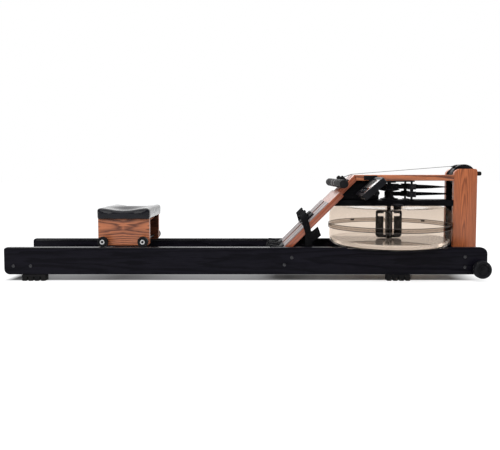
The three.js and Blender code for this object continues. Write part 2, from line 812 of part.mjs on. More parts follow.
// Decks, the web between them and the two uprights
function buildSpine() {
  const mitreShift = boardFace * Math.tan(slopeAngle / 2);
  const deck = outline([
    [mitreX + mitreShift + seatGap, deckBottomZ], [uprightRearX - seatGap, deckBottomZ],
    [uprightRearX - seatGap, deckTopZ], [mitreX - mitreShift + seatGap, deckTopZ],
  ]);
  addPart("top_deck", alongY(deck, -spineHalf, spineHalf), "oxblood");
  const backLine = (z) => mitreX + (z - deckMidZ) / Math.tan(slopeAngle)
    + (boardFace + seatGap) / Math.sin(slopeAngle);
  const lowerDeck = outline([
    [backLine(lowerDeckBottomZ), lowerDeckBottomZ], [uprightRearX - seatGap, lowerDeckBottomZ],
    [uprightRearX - seatGap, lowerDeckTopZ], [backLine(lowerDeckTopZ), lowerDeckTopZ],
  ]);
  const shaftBore = disc(
    bearingRadius, lowerDeckBottomZ - overrun, lowerDeckTopZ + overrun, wheelSides,
  ).translate(tankX, 0, 0);
  addPart("lower_deck", cut(alongY(lowerDeck, -spineHalf, spineHalf), shaftBore), "rail");
  const webLow = lowerDeckTopZ + seatGap;
  const webTop = deckBottomZ - seatGap;
  const web = outline([
    [backLine(webLow), webLow], [webEndX, webLow], [webEndX, webTop, rearTopRadius],
    [backLine(webTop), webTop],
  ]);
  addPart("deck_web", alongY(web, -webThickness / 2, webThickness / 2), "rail");
}

function buildUprights() {
  const shoulderZ = railBottomZ + frontSpreaderRise + frontSpreaderHeight + seatGap;
  const legX = uprightRearX + spreaderThickness + seatGap;
  const shape = outline([
    [legX, uprightBottomZ], [uprightFrontX, uprightBottomZ],
    [uprightFrontX, uprightTopZ, uprightFrontRadius], [uprightRearX, uprightTopZ, uprightRearRadius],
    [uprightRearX, shoulderZ], [legX, shoulderZ],
  ]);
  const bores = [
    [topRollerX, topRollerZ, rollerShaftRadius], [recoilRollerX, recoilRollerZ, rollerShaftRadius],
  ];
  const bumperZ = uprightTopZ - bumperDrop;
  bothSides((side, word) => {
    const [yLow, yHigh] = spanY(side, uprightInner, spineHalf);
    const cutters = bores.map(([x, z, radius]) => laidAlongY(
      disc(boreFor(radius), -shaftEnd, shaftEnd, smallSides), x, z,
    ));
    const plank = cut(alongY(shape, yLow, yHigh), ...cutters);
    addPart(`upright_${word}`, plank, "oxblood");
    const bumper = turned([
      [0, seatGap], [bumperRadius, seatGap], [bumperRadius, bumperReach - bumperRadius / 2],
      [bumperRadius / 2, bumperReach], [0, bumperReach],
    ], smallSides).rotateY(Math.PI / 2);
    const bumperY = side * (uprightInner + uprightThickness / 2);
    addPart(`bumper_${word}`, bumper.translate(uprightFrontX, bumperY, bumperZ), "rubber");
  });
}

// Rollers in the tower, each on its own shaft that turns in blind bores in the uprights
function roller(radius, flangeRadius) {
  const end = shaftEnd - seatGap;
  const flangeInner = rollerHalfWidth - rollerFlangeThickness;
  return turned([
    [0, -end], [rollerShaftRadius, -end], [rollerShaftRadius, -rollerHalfWidth],
    [flangeRadius, -rollerHalfWidth], [flangeRadius, -flangeInner], [radius, -flangeInner],
    [radius, flangeInner], [flangeRadius, flangeInner], [flangeRadius, rollerHalfWidth],
    [rollerShaftRadius, rollerHalfWidth], [rollerShaftRadius, end], [0, end],
  ], wheelSides);
}

function buildRollers() {
  const top = roller(topRollerRadius, topRollerFlange);
  addPart("top_roller", laidAlongY(top, topRollerX, topRollerZ), "blackPlastic");
  const low = roller(recoilRollerRadius, recoilRollerRadius + rollerFlangeThickness);
  addPart("recoil_roller", laidAlongY(low, recoilRollerX, recoilRollerZ), "blackPlastic");
}

function buildGuard() {
  const outerRadius = guardInnerRadius + guardWall;
  const half = uprightInner - seatGap;
  const arc = new THREE.Shape();
  arc.absarc(0, 0, outerRadius, guardFrontAngle, guardRearAngle);
  arc.absarc(0, 0, guardInnerRadius, guardRearAngle, guardFrontAngle, true);
  arc.closePath();
  const hood = alongY(arc, -half, half, wheelSides / 2);
  const cheekShape = new THREE.Shape();
  cheekShape.moveTo(0, -rollerShaftRadius * 2);
  cheekShape.absarc(0, 0, outerRadius, guardFrontAngle, guardRearAngle);
  cheekShape.closePath();
  const cheeks = [-1, 1].map((side) => {
    const [yLow, yHigh] = spanY(side, half - guardWall, half);
    return alongY(cheekShape, yLow, yHigh, wheelSides / 2);
  });
  const bore = disc(boreFor(rollerShaftRadius), -half - overrun, half + overrun, smallSides);
  const slotTop = outerRadius + overrun;
  const slot = block(
    -slotTop, slotTop * Math.cos(guardSlotAngle), -guardSlotWidth / 2, guardSlotWidth / 2, 0, slotTop,
  );
  const guard = cut(joined(hood, ...cheeks), bore.rotateX(-Math.PI / 2), slot);
  addPart("roller_guard", guard.translate(topRollerX, 0, topRollerZ), "blackPlastic");
}

// Stations round a roller whose axis lies along Y
function rollerStations(centreX, centreZ, radius, fromAngle, toAngle, steps) {
  const across = new THREE.Vector3(0, 1, 0);
  return Array.from({ length: steps + 1 }, (unused, index) => {
    const angle = fromAngle + (toAngle - fromAngle) * (index / steps);
    const at = new THREE.Vector3(
      centreX + radius * Math.cos(angle), 0, centreZ + radius * Math.sin(angle),
    );
    return { at, across };
  });
}

// Stations round the drum on the tank's shaft, with the band standing on edge
function drumStations(radius, z, fromAngle, toAngle, steps) {
  const across = new THREE.Vector3(0, 0, -1);
  return Array.from({ length: steps + 1 }, (unused, index) => {
    const angle = fromAngle + (toAngle - fromAngle) * (index / steps);
    const at = new THREE.Vector3(tankX + radius * Math.cos(angle), radius * Math.sin(angle), z);
    return { at, across };
  });
}

// The drive strap: round the handle's bar, over the mitre and the top roller, back to the drum
function buildDriveStrap() {
  const across = new THREE.Vector3(0, 1, 0);
  const onEdge = new THREE.Vector3(0, 0, -1);
  const rollerRadius = topRollerRadius + strapRise;
  const loopRadius = handleBarRadius + strapRise;
  const mitreEnd = slopePoint(boardFace * Math.tan(slopeAngle / 2), boardFace);
  const corner = mitreEnd.clone().add(new THREE.Vector3(-strapRise, 0, strapRise + strapThickness));
  const toCorner = new THREE.Vector3(corner.x - handleX, 0, corner.z - handleZ);
  const leaving = Math.atan2(toCorner.z, toCorner.x)
    - Math.asin(loopRadius / toCorner.length()) + Math.PI / 2;
  const toRoller = new THREE.Vector3(topRollerX - corner.x, 0, topRollerZ - corner.z);
  const arriving = Math.atan2(toRoller.z, toRoller.x)
    + Math.asin(rollerRadius / toRoller.length()) + Math.PI / 2;
  const postX = tankX + guidePostOffset;
  const spoolY = -(guidePostSpread - guideRadius - strapRise);
  const stations = [
    ...rollerStations(handleX, handleZ, loopRadius, leaving + Math.PI, leaving, 12),
    { at: corner, across },
    ...rollerStations(topRollerX, topRollerZ, rollerRadius, arriving, -Math.PI / 2, 16),
  ];
  const start = new THREE.Vector3(topRollerX, 0, topRollerZ - rollerRadius);
  const finish = new THREE.Vector3(postX, spoolY, driveBandZ);
  stations.push(...twisted(start, finish, across, onEdge, topRollerFlange / start.distanceTo(finish)));
  const drumRadius = driveDrumRadius + strapRise;
  stations.push(...drumStations(drumRadius, driveBandZ, -Math.PI / 2, -Math.PI * 1.5, 14));
  addPart("drive_strap", swept(stations, flatSection(strapWidth, strapThickness)), "webbing");
}

// A straight run in which the band turns from one way of lying to another
function twisted(start, finish, fromAcross, toAcross, startShare) {
  const twistSteps = 6;
  return Array.from({ length: twistSteps + 1 }, (unused, index) => {
    const share = startShare + (1 - startShare) * (index / twistSteps);
    const turn = (index / twistSteps) * (Math.PI / 2);
    const across = fromAcross.clone().multiplyScalar(Math.cos(turn))
      .addScaledVector(toAcross, Math.sin(turn));
    return { at: start.clone().lerp(finish, share), across };
  });
}

// The recoil strap: off the small drum, over the recoil roller and down to the elastic cord
function buildRecoil() {
  const across = new THREE.Vector3(0, 1, 0);
  const onEdge = new THREE.Vector3(0, 0, -1);
  const drumRadius = recoilDrumRadius + strapRise;
  const rollerRadius = recoilRollerRadius + strapRise;
  const axleX = railFrontX - transportInset;
  const turnRadius = transportAxleRadius + cordRadius + strapClearance;
  const cordX = axleX + turnRadius;
  const leave = new THREE.Vector3(tankX, drumRadius, recoilBandZ);
  const arrive = new THREE.Vector3(recoilRollerX, 0, recoilBandZ);
  const half = strapThickness * 2;
  const twist = twisted(leave, arrive, onEdge, across, half / leave.distanceTo(arrive));
  const stations = [
    ...drumStations(drumRadius, recoilBandZ, Math.PI * 1.5, Math.PI / 2, 10),
    ...twist.slice(0, -1),
    ...rollerStations(recoilRollerX, recoilRollerZ, rollerRadius, Math.PI / 2, 0, 6),
    { at: new THREE.Vector3(cordX, 0, cordTopZ), across },
  ];
  const section = flatSection(strapWidth, strapThickness);
  addPart("recoil_strap", swept(stations, section), "webbing");
  const blockBack = boardFace + seatGap * 2 + blockThickness;
  const cordZ = transportRise - turnRadius;
  const endX = mitreX + (cordZ + cordRadius - deckMidZ) / Math.tan(slopeAngle)
    + blockBack / Math.sin(slopeAngle);
  const cord = [
    { at: new THREE.Vector3(cordX, 0, cordTopZ - seatGap), across },
    ...rollerStations(axleX, transportRise, turnRadius, 0, -Math.PI / 2, 8),
    { at: new THREE.Vector3(endX, 0, cordZ), across },
  ];
  addPart("recoil_cord", swept(cord, roundSection(cordRadius, cordSides)), "webbing");
}

// How far along and above the footboard's middle the handle's axis lies
const handleAlong = (handleX - mitreX) * Math.cos(slopeAngle)
  + (handleZ - deckMidZ) * Math.sin(slopeAngle);

// The sloping foot end is built flat and turned about the mitre as one group
function buildFootEnd() {
  const slope = new THREE.Group();
  slope.position.set(mitreX, 0, deckMidZ);
  slope.rotation.y = -slopeAngle;
  machine.add(slope);
  const mitreShift = boardFace * Math.tan(slopeAngle / 2);
  const board = outline([
    [-boardBottomReach, -boardFace], [-mitreShift - seatGap, -boardFace],
    [mitreShift - seatGap, boardFace], [-boardBottomReach, boardFace],
  ]);
  const plan = outline([
    [-boardBottomReach, -footboardHalf, footboardRound],
    [-footboardNeckReach, -footboardHalf, footboardRound],
    [-footboardNeckReach, -spineHalf], [boardFace, -spineHalf],
    [boardFace, spineHalf], [-footboardNeckReach, spineHalf],
    [-footboardNeckReach, footboardHalf, footboardRound],
    [-boardBottomReach, footboardHalf, footboardRound],
  ]);
  const plank = common(
    alongY(board, -footboardHalf - overrun, footboardHalf + overrun),
    alongZ(plan, -boardFace - overrun, boardFace + overrun),
  );
  addPart("footboard", plank, "oxblood", slope);
  const half = railInner - seatGap;
  const crossBlock = block(
    -blockReach - blockHalfLength, -blockReach + blockHalfLength, -half, half,
    -boardFace - seatGap - blockThickness, -boardFace - seatGap,
  );
  addPart("footboard_block", crossBlock, "rail", slope);
  const plateLow = boardFace + seatGap;
  const plateTop = plateLow + plateThickness;
  const plateInner = plateGap / 2;
  const plateOuter = footboardHalf - plateMargin;
  const grooveMiddle = (plateInner + plateOuter) / 2;
  bothSides((side, word) => {
    const section = outline([
      [side * plateInner, plateLow], [side * plateOuter, plateLow], [side * plateOuter, plateTop],
      [side * (grooveMiddle + plateGrooveWidth / 2), plateTop],
      [side * (grooveMiddle + plateGrooveWidth / 2), plateTop - plateGrooveDepth],
      [side * (grooveMiddle - plateGrooveWidth / 2), plateTop - plateGrooveDepth],
      [side * (grooveMiddle - plateGrooveWidth / 2), plateTop], [side * plateInner, plateTop],
    ]);
    const plate = alongX(section, -plateBottomReach, -plateTopReach);
    addPart(`foot_plate_${word}`, plate, "greyPlate", slope);
    addPart(`heel_rest_${word}`, heelRest(side, plateTop, grooveMiddle), "blackPlastic", slope);
    addPart(`foot_strap_${word}`, footStrap(side, plateTop), "webbing", slope);
  });
  addPart("handle_rest", handleRest(), "blackPlastic", slope);
}

// A heel cup: a rounded wall that rises from the sole, with a tongue that slides in the plate's groove
function heelRest(side, plateTop, grooveMiddle) {
  const low = plateTop + seatGap;
  const [yLow, yHigh] = spanY(side, grooveMiddle - heelWidth / 2, grooveMiddle + heelWidth / 2);
  const profile = outline([
    [-heelLowReach, low], [-heelHighReach, low], [-heelHighReach, low + heelSoleHeight],
    [-heelShoulderReach + heelShoulderHeight, low + heelSoleHeight, heelSoleHeight],
    [-heelShoulderReach, low + heelShoulderHeight, heelSoleHeight],
    [-heelCrestReach, low + heelCrestHeight, heelSoleHeight],
    [-heelLowReach, low + heelLowHeight, heelSoleHeight],
  ]);
  const plan = (inset, reach) => outline([
    [-heelLowReach + inset, yLow + inset, heelRound - inset],
    [-heelLowReach + reach, yLow + inset], [-heelLowReach + reach, yHigh - inset],
    [-heelLowReach + inset, yHigh - inset, heelRound - inset],
  ]);
  const length = heelLowReach - heelHighReach;
  const outer = alongZ(plan(0, length), low - overrun, low + heelCrestHeight + overrun);
  const inner = alongZ(
    plan(heelWall, length + overrun), low + heelSoleHeight, low + heelCrestHeight + overrun,
  );
  const cup = cut(common(alongY(profile, yLow, yHigh), outer), inner);
  const tongueHalf = plateGrooveWidth / 2 - seatGap;
  const tongue = block(
    -plateBottomReach, -heelHighReach, side * grooveMiddle - tongueHalf,
    side * grooveMiddle + tongueHalf, plateTop - plateGrooveDepth + seatGap, low + heelSoleHeight / 2,
  );
  return joined(cup, tongue);
}

// A strap over one foot: a base on the plate, an arch with a buckle, and a tail that hangs down
function footStrap(side, plateTop) {
  const along = -(strapBaseTop + strapBaseBottom) / 2;
  const baseLow = plateTop + seatGap;
  const baseTop = baseLow + strapBaseHeight;
  const inner = plateGap / 2 + plateMargin;
  const [yLow, yHigh] = spanY(side, inner, inner + strapBaseWidth);
  const base = block(-strapBaseBottom, -strapBaseTop, yLow, yHigh, baseLow, baseTop);
  const crest = plateTop + footStrapArch;
  const outside = footboardHalf + footStrapStand;
  const place = (y, above, shift = 0) => new THREE.Vector3(along + shift, side * y, above);
  const lengthways = new THREE.Vector3(1, 0, 0);
  const level = new THREE.Vector3(Math.cos(slopeAngle), 0, -Math.sin(slopeAngle));
  const fall = slopePoint(along, -boardFace).z - footStrapTailZ;
  const drop = fall * Math.sin(slopeAngle);
  const archShares = [
    [0.02, 0], [0.04, 0.4], [0.12, 0.72], [0.28, 0.94], [0.5, 1], [0.72, 0.94], [0.9, 0.7],
    [0.98, 0.35], [1, 0],
  ];
  const stations = archShares.map(([yShare, riseShare]) => ({
    at: place(
      inner + footStrapThickness + (outside - inner - footStrapThickness) * yShare,
      baseLow + strapBaseHeight / 2 + (crest - baseLow - strapBaseHeight / 2) * riseShare,
    ),
    across: lengthways,
  }));
  stations.push({ at: place(outside, -boardFace / 2), across: lengthways });
  stations.push({ at: place(outside, -boardFace), across: lengthways.clone().lerp(level, 1 / 3) });
  stations.push({
    at: place(outside, -boardFace - drop / 4, -drop / 4), across: level,
  });
  stations.push({ at: place(outside, -boardFace - drop, -drop), across: level });
  const strap = swept(stations, flatSection(footStrapWidth, footStrapThickness));
  const buckleMiddle = (inner + outside) / 2 + buckleShift;
  const [buckleLow, buckleHigh] = spanY(
    side, buckleMiddle - buckleLength / 2, buckleMiddle + buckleLength / 2,
  );
  const buckle = block(
    along - buckleWidth / 2, along + buckleWidth / 2, buckleLow, buckleHigh,
    crest - footStrapThickness, crest - footStrapThickness + buckleHeight,
  );
  return joined(base, strap, buckle);
}

// Two horns that the handle hangs against, on one plate across the footboard
function handleRest() {
  const along = handleAlong + hornReach;
  const low = boardFace + seatGap;
  const half = spineHalf - plateMargin;
  const plate = block(
    along - restPlateLength / 2, along + restPlateLength / 2, -half, half, low, low + restPlateThickness,
  );
  const horns = [-1, 1].map((side) => turned([
    [0, low], [hornRadius, low], [hornRadius, low + hornHeight - hornRadius / 2],
    [hornRadius / 2, low + hornHeight], [0, low + hornHeight],
  ], smallSides).translate(along, side * hornSpread, 0));
  return joined(plate, ...horns);
}

// The handle: a bar with a rubber grip that is open in the middle for the strap
function buildHandle() {
  const end = handleLength / 2;
  const capLength = gripRadius / 3;
  const bar = turned([
    [0, -end], [gripRadius - capLength, -end], [gripRadius, -end + capLength],
    [handleBarRadius, -end + capLength], [handleBarRadius, end - capLength],
    [gripRadius, end - capLength], [gripRadius - capLength, end], [0, end],
  ], wheelSides);
  addPart("handle_bar", laidAlongY(bar, handleX, handleZ), "steel");
  const gripEnd = end - capLength - seatGap;
  const sleeve = ring(handleBarRadius + seatGap, gripRadius, -gripEnd, gripEnd, wheelSides);
  const slotHalf = handleSlotWidth / 2;
  const bridge = handleBarRadius * slotBridgeShare;
  const window = block(
    handleX - gripRadius * 2, handleX + bridge, -slotHalf, slotHalf,
    handleZ - gripRadius * 2, handleZ + gripRadius * 2,
  );
  addPart("handle_grip", cut(laidAlongY(sleeve, handleX, handleZ), window), "rubber");
}

// The seat: a padded top on a cross board and two side plates, on four wheels
function buildSeat() {
  const plateX = seatCentreX - padShift;
  const half = sidePlateLength / 2;
  const axleZ = railTopZ + seatGap + seatWheelRadius;
  const axleMiddleX = plateX + wheelAxleShift;
  const axleXs = { rear: axleMiddleX - wheelbase / 2, front: axleMiddleX + wheelbase / 2 };
  const shape = outline([
    [plateX - half, sidePlateBottomZ, sidePlateRadius],
    [plateX + half, sidePlateBottomZ, sidePlateRadius],
    [plateX + half, sidePlateTopZ], [plateX - half, sidePlateTopZ],
  ]);
  const inner = sidePlateOuter - sidePlateThickness;
  const bores = Object.values(axleXs).map((x) => laidAlongY(
    disc(boreFor(seatAxleRadius), -railOuter, railOuter, smallSides), x, axleZ,
  ));
  bothSides((side, word) => {
    const [yLow, yHigh] = spanY(side, inner, sidePlateOuter);
    addPart(`seat_plate_${word}`, cut(alongY(shape, yLow, yHigh), ...bores), "oxblood");
  });
  const boardHalf = half - sidePlateThickness;
  const board = block(
    plateX - boardHalf, plateX + boardHalf, -inner + seatGap, inner - seatGap,
    sidePlateTopZ - seatBoardThickness, sidePlateTopZ,
  );
  addPart("seat_board", board, "oxblood");
  addPart("seat_pad", seatPad(), "vinyl");
  const wheelOuter = seatWheelInner + seatWheelWidth;
  const edge = seatWheelWidth / 5;
  const wheelProfile = [
    [seatAxleRadius + seatGap, seatWheelInner], [seatWheelRadius - edge, seatWheelInner],
    [seatWheelRadius, seatWheelInner + edge], [seatWheelRadius, wheelOuter - edge],
    [seatWheelRadius - edge, wheelOuter], [seatWheelHub, wheelOuter],
    [seatWheelHub, wheelOuter + seatAxleRadius / 4],
    [seatAxleRadius + seatGap, wheelOuter + seatAxleRadius / 4],
    [seatAxleRadius + seatGap, seatWheelInner],
  ];
  for (const [place, x] of Object.entries(axleXs)) {
    const end = wheelOuter + seatAxleRadius / 2;
    const collarOut = seatWheelInner - seatGap;
    const collarIn = sidePlateOuter + seatGap;
    const collar = seatAxleRadius * seatCollarShare;
    const axle = turned([
      [0, -end], [seatAxleRadius, -end], [seatAxleRadius, -collarOut], [collar, -collarOut],
      [collar, -collarIn], [seatAxleRadius, -collarIn], [seatAxleRadius, collarIn],
      [collar, collarIn], [collar, collarOut], [seatAxleRadius, collarOut], [seatAxleRadius, end],
      [0, end],
    ], smallSides);
    addPart(`seat_axle_${place}`, laidAlongY(axle, x, axleZ), "steel");
    bothSides((side, word) => {
      const wheel = turned(wheelProfile, wheelSides);
      wheel.rotateX(side > 0 ? -Math.PI / 2 : Math.PI / 2).translate(x, 0, axleZ);
      addPart(`seat_wheel_${place}_${word}`, wheel, "rubber");
    });
  }
}

// A rounded rectangle round the origin, with its straight sides split so that they can dip
function padRing(inset) {
  const radius = Math.max(padCorner - inset, padHem);
  const centreX = padLength / 2 - inset - radius;
  const centreY = padWidth / 2 - inset - radius;
  const arcs = [[1, 1], [-1, 1], [-1, -1], [1, -1]].map(([signX, signY], quarter) => {
    const arc = [];
    for (let step = 0; step <= padCornerSteps; step += 1) {
      const angle = (quarter + step / padCornerSteps) * Math.PI / 2;
      arc.push(new THREE.Vector2(
        signX * centreX + radius * Math.cos(angle), signY * centreY + radius * Math.sin(angle),
      ));
    }
    return arc;
  });
  return arcs.flatMap((arc, quarter) => {
    const from = arc[padCornerSteps];
    const [to] = arcs[(quarter + 1) % arcs.length];
    const side = [];
    for (let split = 1; split < padSideSplits; split += 1) {
      side.push(from.clone().lerp(to, split / padSideSplits));
    }
    return [...arc, ...side];
  });
}

// The pad is upright at its sides, rounded in at the edge and hollowed for the rower
function seatPad() {
  const lowZ = sidePlateTopZ + seatGap;
  const rings = [[padHem, 0], [0, padHem]];
  for (let step = 0; step <= arcSteps; step += 1) {
    const angle = (step / arcSteps) * Math.PI / 2;
    rings.push([padEdge * (1 - Math.cos(angle)), padThickness - padEdge * (1 - Math.sin(angle))]);
  }
  for (let ring = 1; ring < padCrownRings; ring += 1) {
    rings.push([padEdge + (padLength / 2 - padEdge) * (ring / padCrownRings), padThickness]);
  }
  const hollow = (x, y) => {
    const along = Math.cos((x / padLength) * Math.PI) ** 2;
    const cheeks = 1 - padCheekShare * Math.cos((y / padWidth) * Math.PI * 2) ** 2;
    return padDip * along * cheeks;
  };
  const positions = [];
  rings.forEach(([inset, height]) => padRing(inset).forEach(({ x, y }) => {
    positions.push(seatCentreX + x, y, lowZ + height - hollow(x, y) * (height / padThickness));
  }));
  const sides = positions.length / 3 / rings.length;
  const indices = [];
  for (let row = 0; row < rings.length - 1; row += 1) {
    for (let index = 0; index < sides; index += 1) {
      const a = row * sides + index;
      const b = row * sides + (index + 1) % sides;
      indices.push(a, b, b + sides, a, b + sides, a + sides);
    }
  }
  const underside = positions.length / 3;
  positions.push(seatCentreX, 0, lowZ);
  positions.push(seatCentreX, 0, lowZ + padThickness - hollow(0, 0));
  for (let index = 0; index < sides; index += 1) {
    const next = (index + 1) % sides;
    const top = (rings.length - 1) * sides;
    indices.push(underside, next, index, underside + 1, top + index, top + next);
  }
  const geometry = new THREE.BufferGeometry();
  geometry.setAttribute("position", new THREE.BufferAttribute(new Float32Array(positions), 3));
  geometry.setIndex(indices);
  return geometry;
}

// The monitor tilts on a rod that a bracket holds beside the top deck
function buildMonitor() {
  const middleY = -(spineHalf + monitorGapToDeck + monitorWidth / 2);
  const pivotDepth = monitorThickness / 2 + lugRadius;
  const tilted = new THREE.Group();
  tilted.position.set(monitorX, middleY, monitorZ);
  tilted.rotation.y = -monitorTilt;
  machine.add(tilted);
  const halfLength = monitorLength / 2;
  const halfWidth = monitorWidth / 2;
  const halfThickness = monitorThickness / 2;
  const face = (inset, radius) => outline([
    [-halfLength + inset, -halfWidth + inset, radius], [halfLength - inset, -halfWidth + inset, radius],
    [halfLength - inset, halfWidth - inset, radius], [-halfLength + inset, halfWidth - inset, radius],
  ]);
  const recess = halfThickness - glassDepth - seatGap;
  const glassRadius = monitorCorner - monitorWall;
  const body = alongZ(face(0, monitorCorner), -halfThickness, halfThickness);
  const pocket = alongZ(face(glassMargin - seatGap, glassRadius), recess, halfThickness + overrun);
  const lugs = [-1, 1].map((side) => {
    const [yLow, yHigh] = spanY(side, lugSpacing / 2 - lugWidth / 2, lugSpacing / 2 + lugWidth / 2);
    const eye = disc(lugRadius, yLow, yHigh, smallSides).rotateX(-Math.PI / 2).translate(0, 0, -pivotDepth);
    const neck = block(-lugRadius, lugRadius, yLow, yHigh, -pivotDepth, -halfThickness + overrun);
    return joined(eye, neck);
  });
  const bore = disc(boreFor(armRadius), -halfWidth, halfWidth, smallSides).rotateX(-Math.PI / 2);
  const shell = cut(joined(body, ...lugs), pocket, bore.translate(0, 0, -pivotDepth));
  addPart("monitor_case", shell, "blackPlastic", tilted);
  const glass = alongZ(face(glassMargin, glassRadius), recess + seatGap, halfThickness);
  addPart("monitor_glass", glass, "glass", tilted);
  const pivotX = monitorX + pivotDepth * Math.sin(monitorTilt);
  const pivotZ = monitorZ - pivotDepth * Math.cos(monitorTilt);
  const nearY = -spineHalf - seatGap;
  const farY = nearY - armPlateThickness;
  const plateLow = deckMidZ - armPlateHeight / 2;
  const plate = block(
    pivotX - armPlateLength / 2, pivotX + armPlateLength / 2, farY, nearY,
    plateLow, plateLow + armPlateHeight,
  );
  const leg = block(
    pivotX - armLegWidth / 2, pivotX + armLegWidth / 2, farY, nearY,
    pivotZ - armLegWidth / 2, plateLow + armPlateHeight / 2,
  );
  const rod = laidAlongY(disc(armRadius, farY - armReach, nearY, smallSides), pivotX, pivotZ);
  addPart("monitor_arm", joined(plate, leg, rod), "blackSteel");
}

buildRails();
buildSpreaders();
buildFeet();
buildTransportWheels();
buildTank();
buildPaddle();
buildDrive();
buildGuides();
buildSpine();
buildUprights();
buildRollers();
buildGuard();
buildDriveStrap();
buildRecoil();
buildFootEnd();
buildHandle();
buildSeat();
buildMonitor();

export default machine;
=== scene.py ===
# Water rowing machine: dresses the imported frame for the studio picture. Everything is in metres,
# except where a profile is written in millimetres.
import math
import random

import bmesh
import bpy
from mathutils import Matrix, Vector


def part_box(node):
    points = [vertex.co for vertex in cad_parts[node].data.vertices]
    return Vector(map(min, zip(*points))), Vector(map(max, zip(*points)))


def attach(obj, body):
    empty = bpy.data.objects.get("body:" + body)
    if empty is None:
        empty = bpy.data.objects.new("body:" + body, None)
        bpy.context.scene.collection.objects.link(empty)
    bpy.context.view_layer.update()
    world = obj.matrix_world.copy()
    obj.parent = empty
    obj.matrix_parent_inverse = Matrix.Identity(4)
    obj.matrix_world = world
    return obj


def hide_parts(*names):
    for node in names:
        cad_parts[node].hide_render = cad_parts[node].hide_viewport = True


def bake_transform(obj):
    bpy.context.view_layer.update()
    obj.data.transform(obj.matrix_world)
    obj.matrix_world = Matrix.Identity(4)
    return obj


print("loading the packed frame")
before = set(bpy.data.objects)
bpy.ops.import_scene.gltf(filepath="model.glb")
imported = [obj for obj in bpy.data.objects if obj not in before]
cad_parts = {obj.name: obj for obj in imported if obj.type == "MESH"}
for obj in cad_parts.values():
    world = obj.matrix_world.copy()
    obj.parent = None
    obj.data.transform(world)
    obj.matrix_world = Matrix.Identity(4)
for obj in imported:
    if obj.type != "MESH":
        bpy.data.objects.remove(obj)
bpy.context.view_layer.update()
scene = bpy.context.scene
scene.view_settings.view_transform = "Standard"
random.seed(7)
quarter = math.pi / 2
white = (1, 1, 1, 1)


# Node tools: what a node is given by name goes to its own setting, or else to its socket
def addNode(owner, kind, links=None, **values):
    node = owner.node_tree.nodes.new(f"ShaderNode{kind}")
    for key, value in values.items():
        if hasattr(node, key):
            setattr(node, key, value)
        else:
            node.inputs[key.replace("_", " ")].default_value = value
    for socket, source in (links or {}).items():
        owner.node_tree.links.new(source, node.inputs[socket])
    return node


def feed(owner, source, target):
    owner.node_tree.links.new(source, target)


def addRange(owner, source, low, high, fromLow=0.3, fromHigh=0.7):
    ends = {"From_Min": fromLow, "From_Max": fromHigh, "To_Min": low, "To_Max": high}
    return addNode(owner, "MapRange", {"Value": source}, **ends).outputs[0]


def addMath(owner, operation, first, second=0.0):
    node = addNode(owner, "Math", operation=operation)
    for socket, value in zip(node.inputs, (first, second)):
        if isinstance(value, (int, float)):
            socket.default_value = value
        else:
            feed(owner, value, socket)
    return node.outputs[0]


def joinShaders(owner, kind, first, second, links=None):
    node = addNode(owner, kind, links)
    feed(owner, first.outputs[0], node.inputs[-2])
    feed(owner, second.outputs[0], node.inputs[-1])
    return node


def splitPlace(owner, space):
    place = addNode(owner, "TexCoord").outputs[space]
    return addNode(owner, "SeparateXYZ", {"Vector": place}).outputs


# The studio: a low camera in front of the machine, three soft boxes, a white room. The floor
# glows outside the edges named here; inside them its glow is taken away, a painted shadow under the machine that
# grows darker towards the near rail, on top of the real shadow that the lamps cast.
print("studio")
studio = {
    "cameraPlace": (0.0312, -2.468, 0.469), "cameraPitch": -3.0, "lens": 38.8, "sensor": 36,
    "shift": (-0.01, -0.05), "nearest": 0.05,
    "floorSize": 40.0, "floorColour": (0.33, 0.33, 0.33), "floorDrop": 0.0006, "floorGlow": 0.8,
    # edges of the painted shadow under the machine: the floor's glow ramps in from start to end along each axis
    "glow": [("Y", -0.141, -0.163), ("Y", -0.05, 0.13), ("X", 0.90, 1.02), ("X", -1.02, -1.06)],
    "fill": 0.8, "fillColour": (0.96, 0.97, 1.0), "dimRoom": 0.1,
    "backWall": (1.0, -0.05, 0.45), "ceiling": (0.9, 0.3, 0.85),
    "boxes": {  # place, target, size, power
        "overheadBox": ((-0.2, -0.5, 3.2), (0, 0, 0.2), (3.6, 2.4), 46),
        "frontBox": ((-1.4, -3.6, 1.9), (0, 0, 0.3), (2.4, 1.6), 40),
        "backBox": ((0.9, 2.9, 2.1), (0.2, 0, 0.3), (3.0, 1.4), 30),
    },
}
bpy.ops.object.select_all(action="DESELECT")
pitch = math.radians(90 + studio["cameraPitch"])
bpy.ops.object.camera_add(location=studio["cameraPlace"], rotation=(pitch, 0, 0))
camera = bpy.context.object
camera.name = "photoCamera"
camera.data.lens = studio["lens"]
camera.data.sensor_width = studio["sensor"]
camera.data.shift_x, camera.data.shift_y = studio["shift"]
camera.data.clip_start = studio["nearest"]
scene.camera = camera

for name, (place, target, size, power) in studio["boxes"].items():
    bpy.ops.object.light_add(type="AREA", location=place)
    lamp = bpy.context.object
    lamp.name = name
    lamp.data.shape = "RECTANGLE"
    lamp.data.size, lamp.data.size_y = size
    lamp.data.energy = power
    lamp.rotation_euler = (Vector(target) - Vector(place)).to_track_quat("-Z", "Y").to_euler()

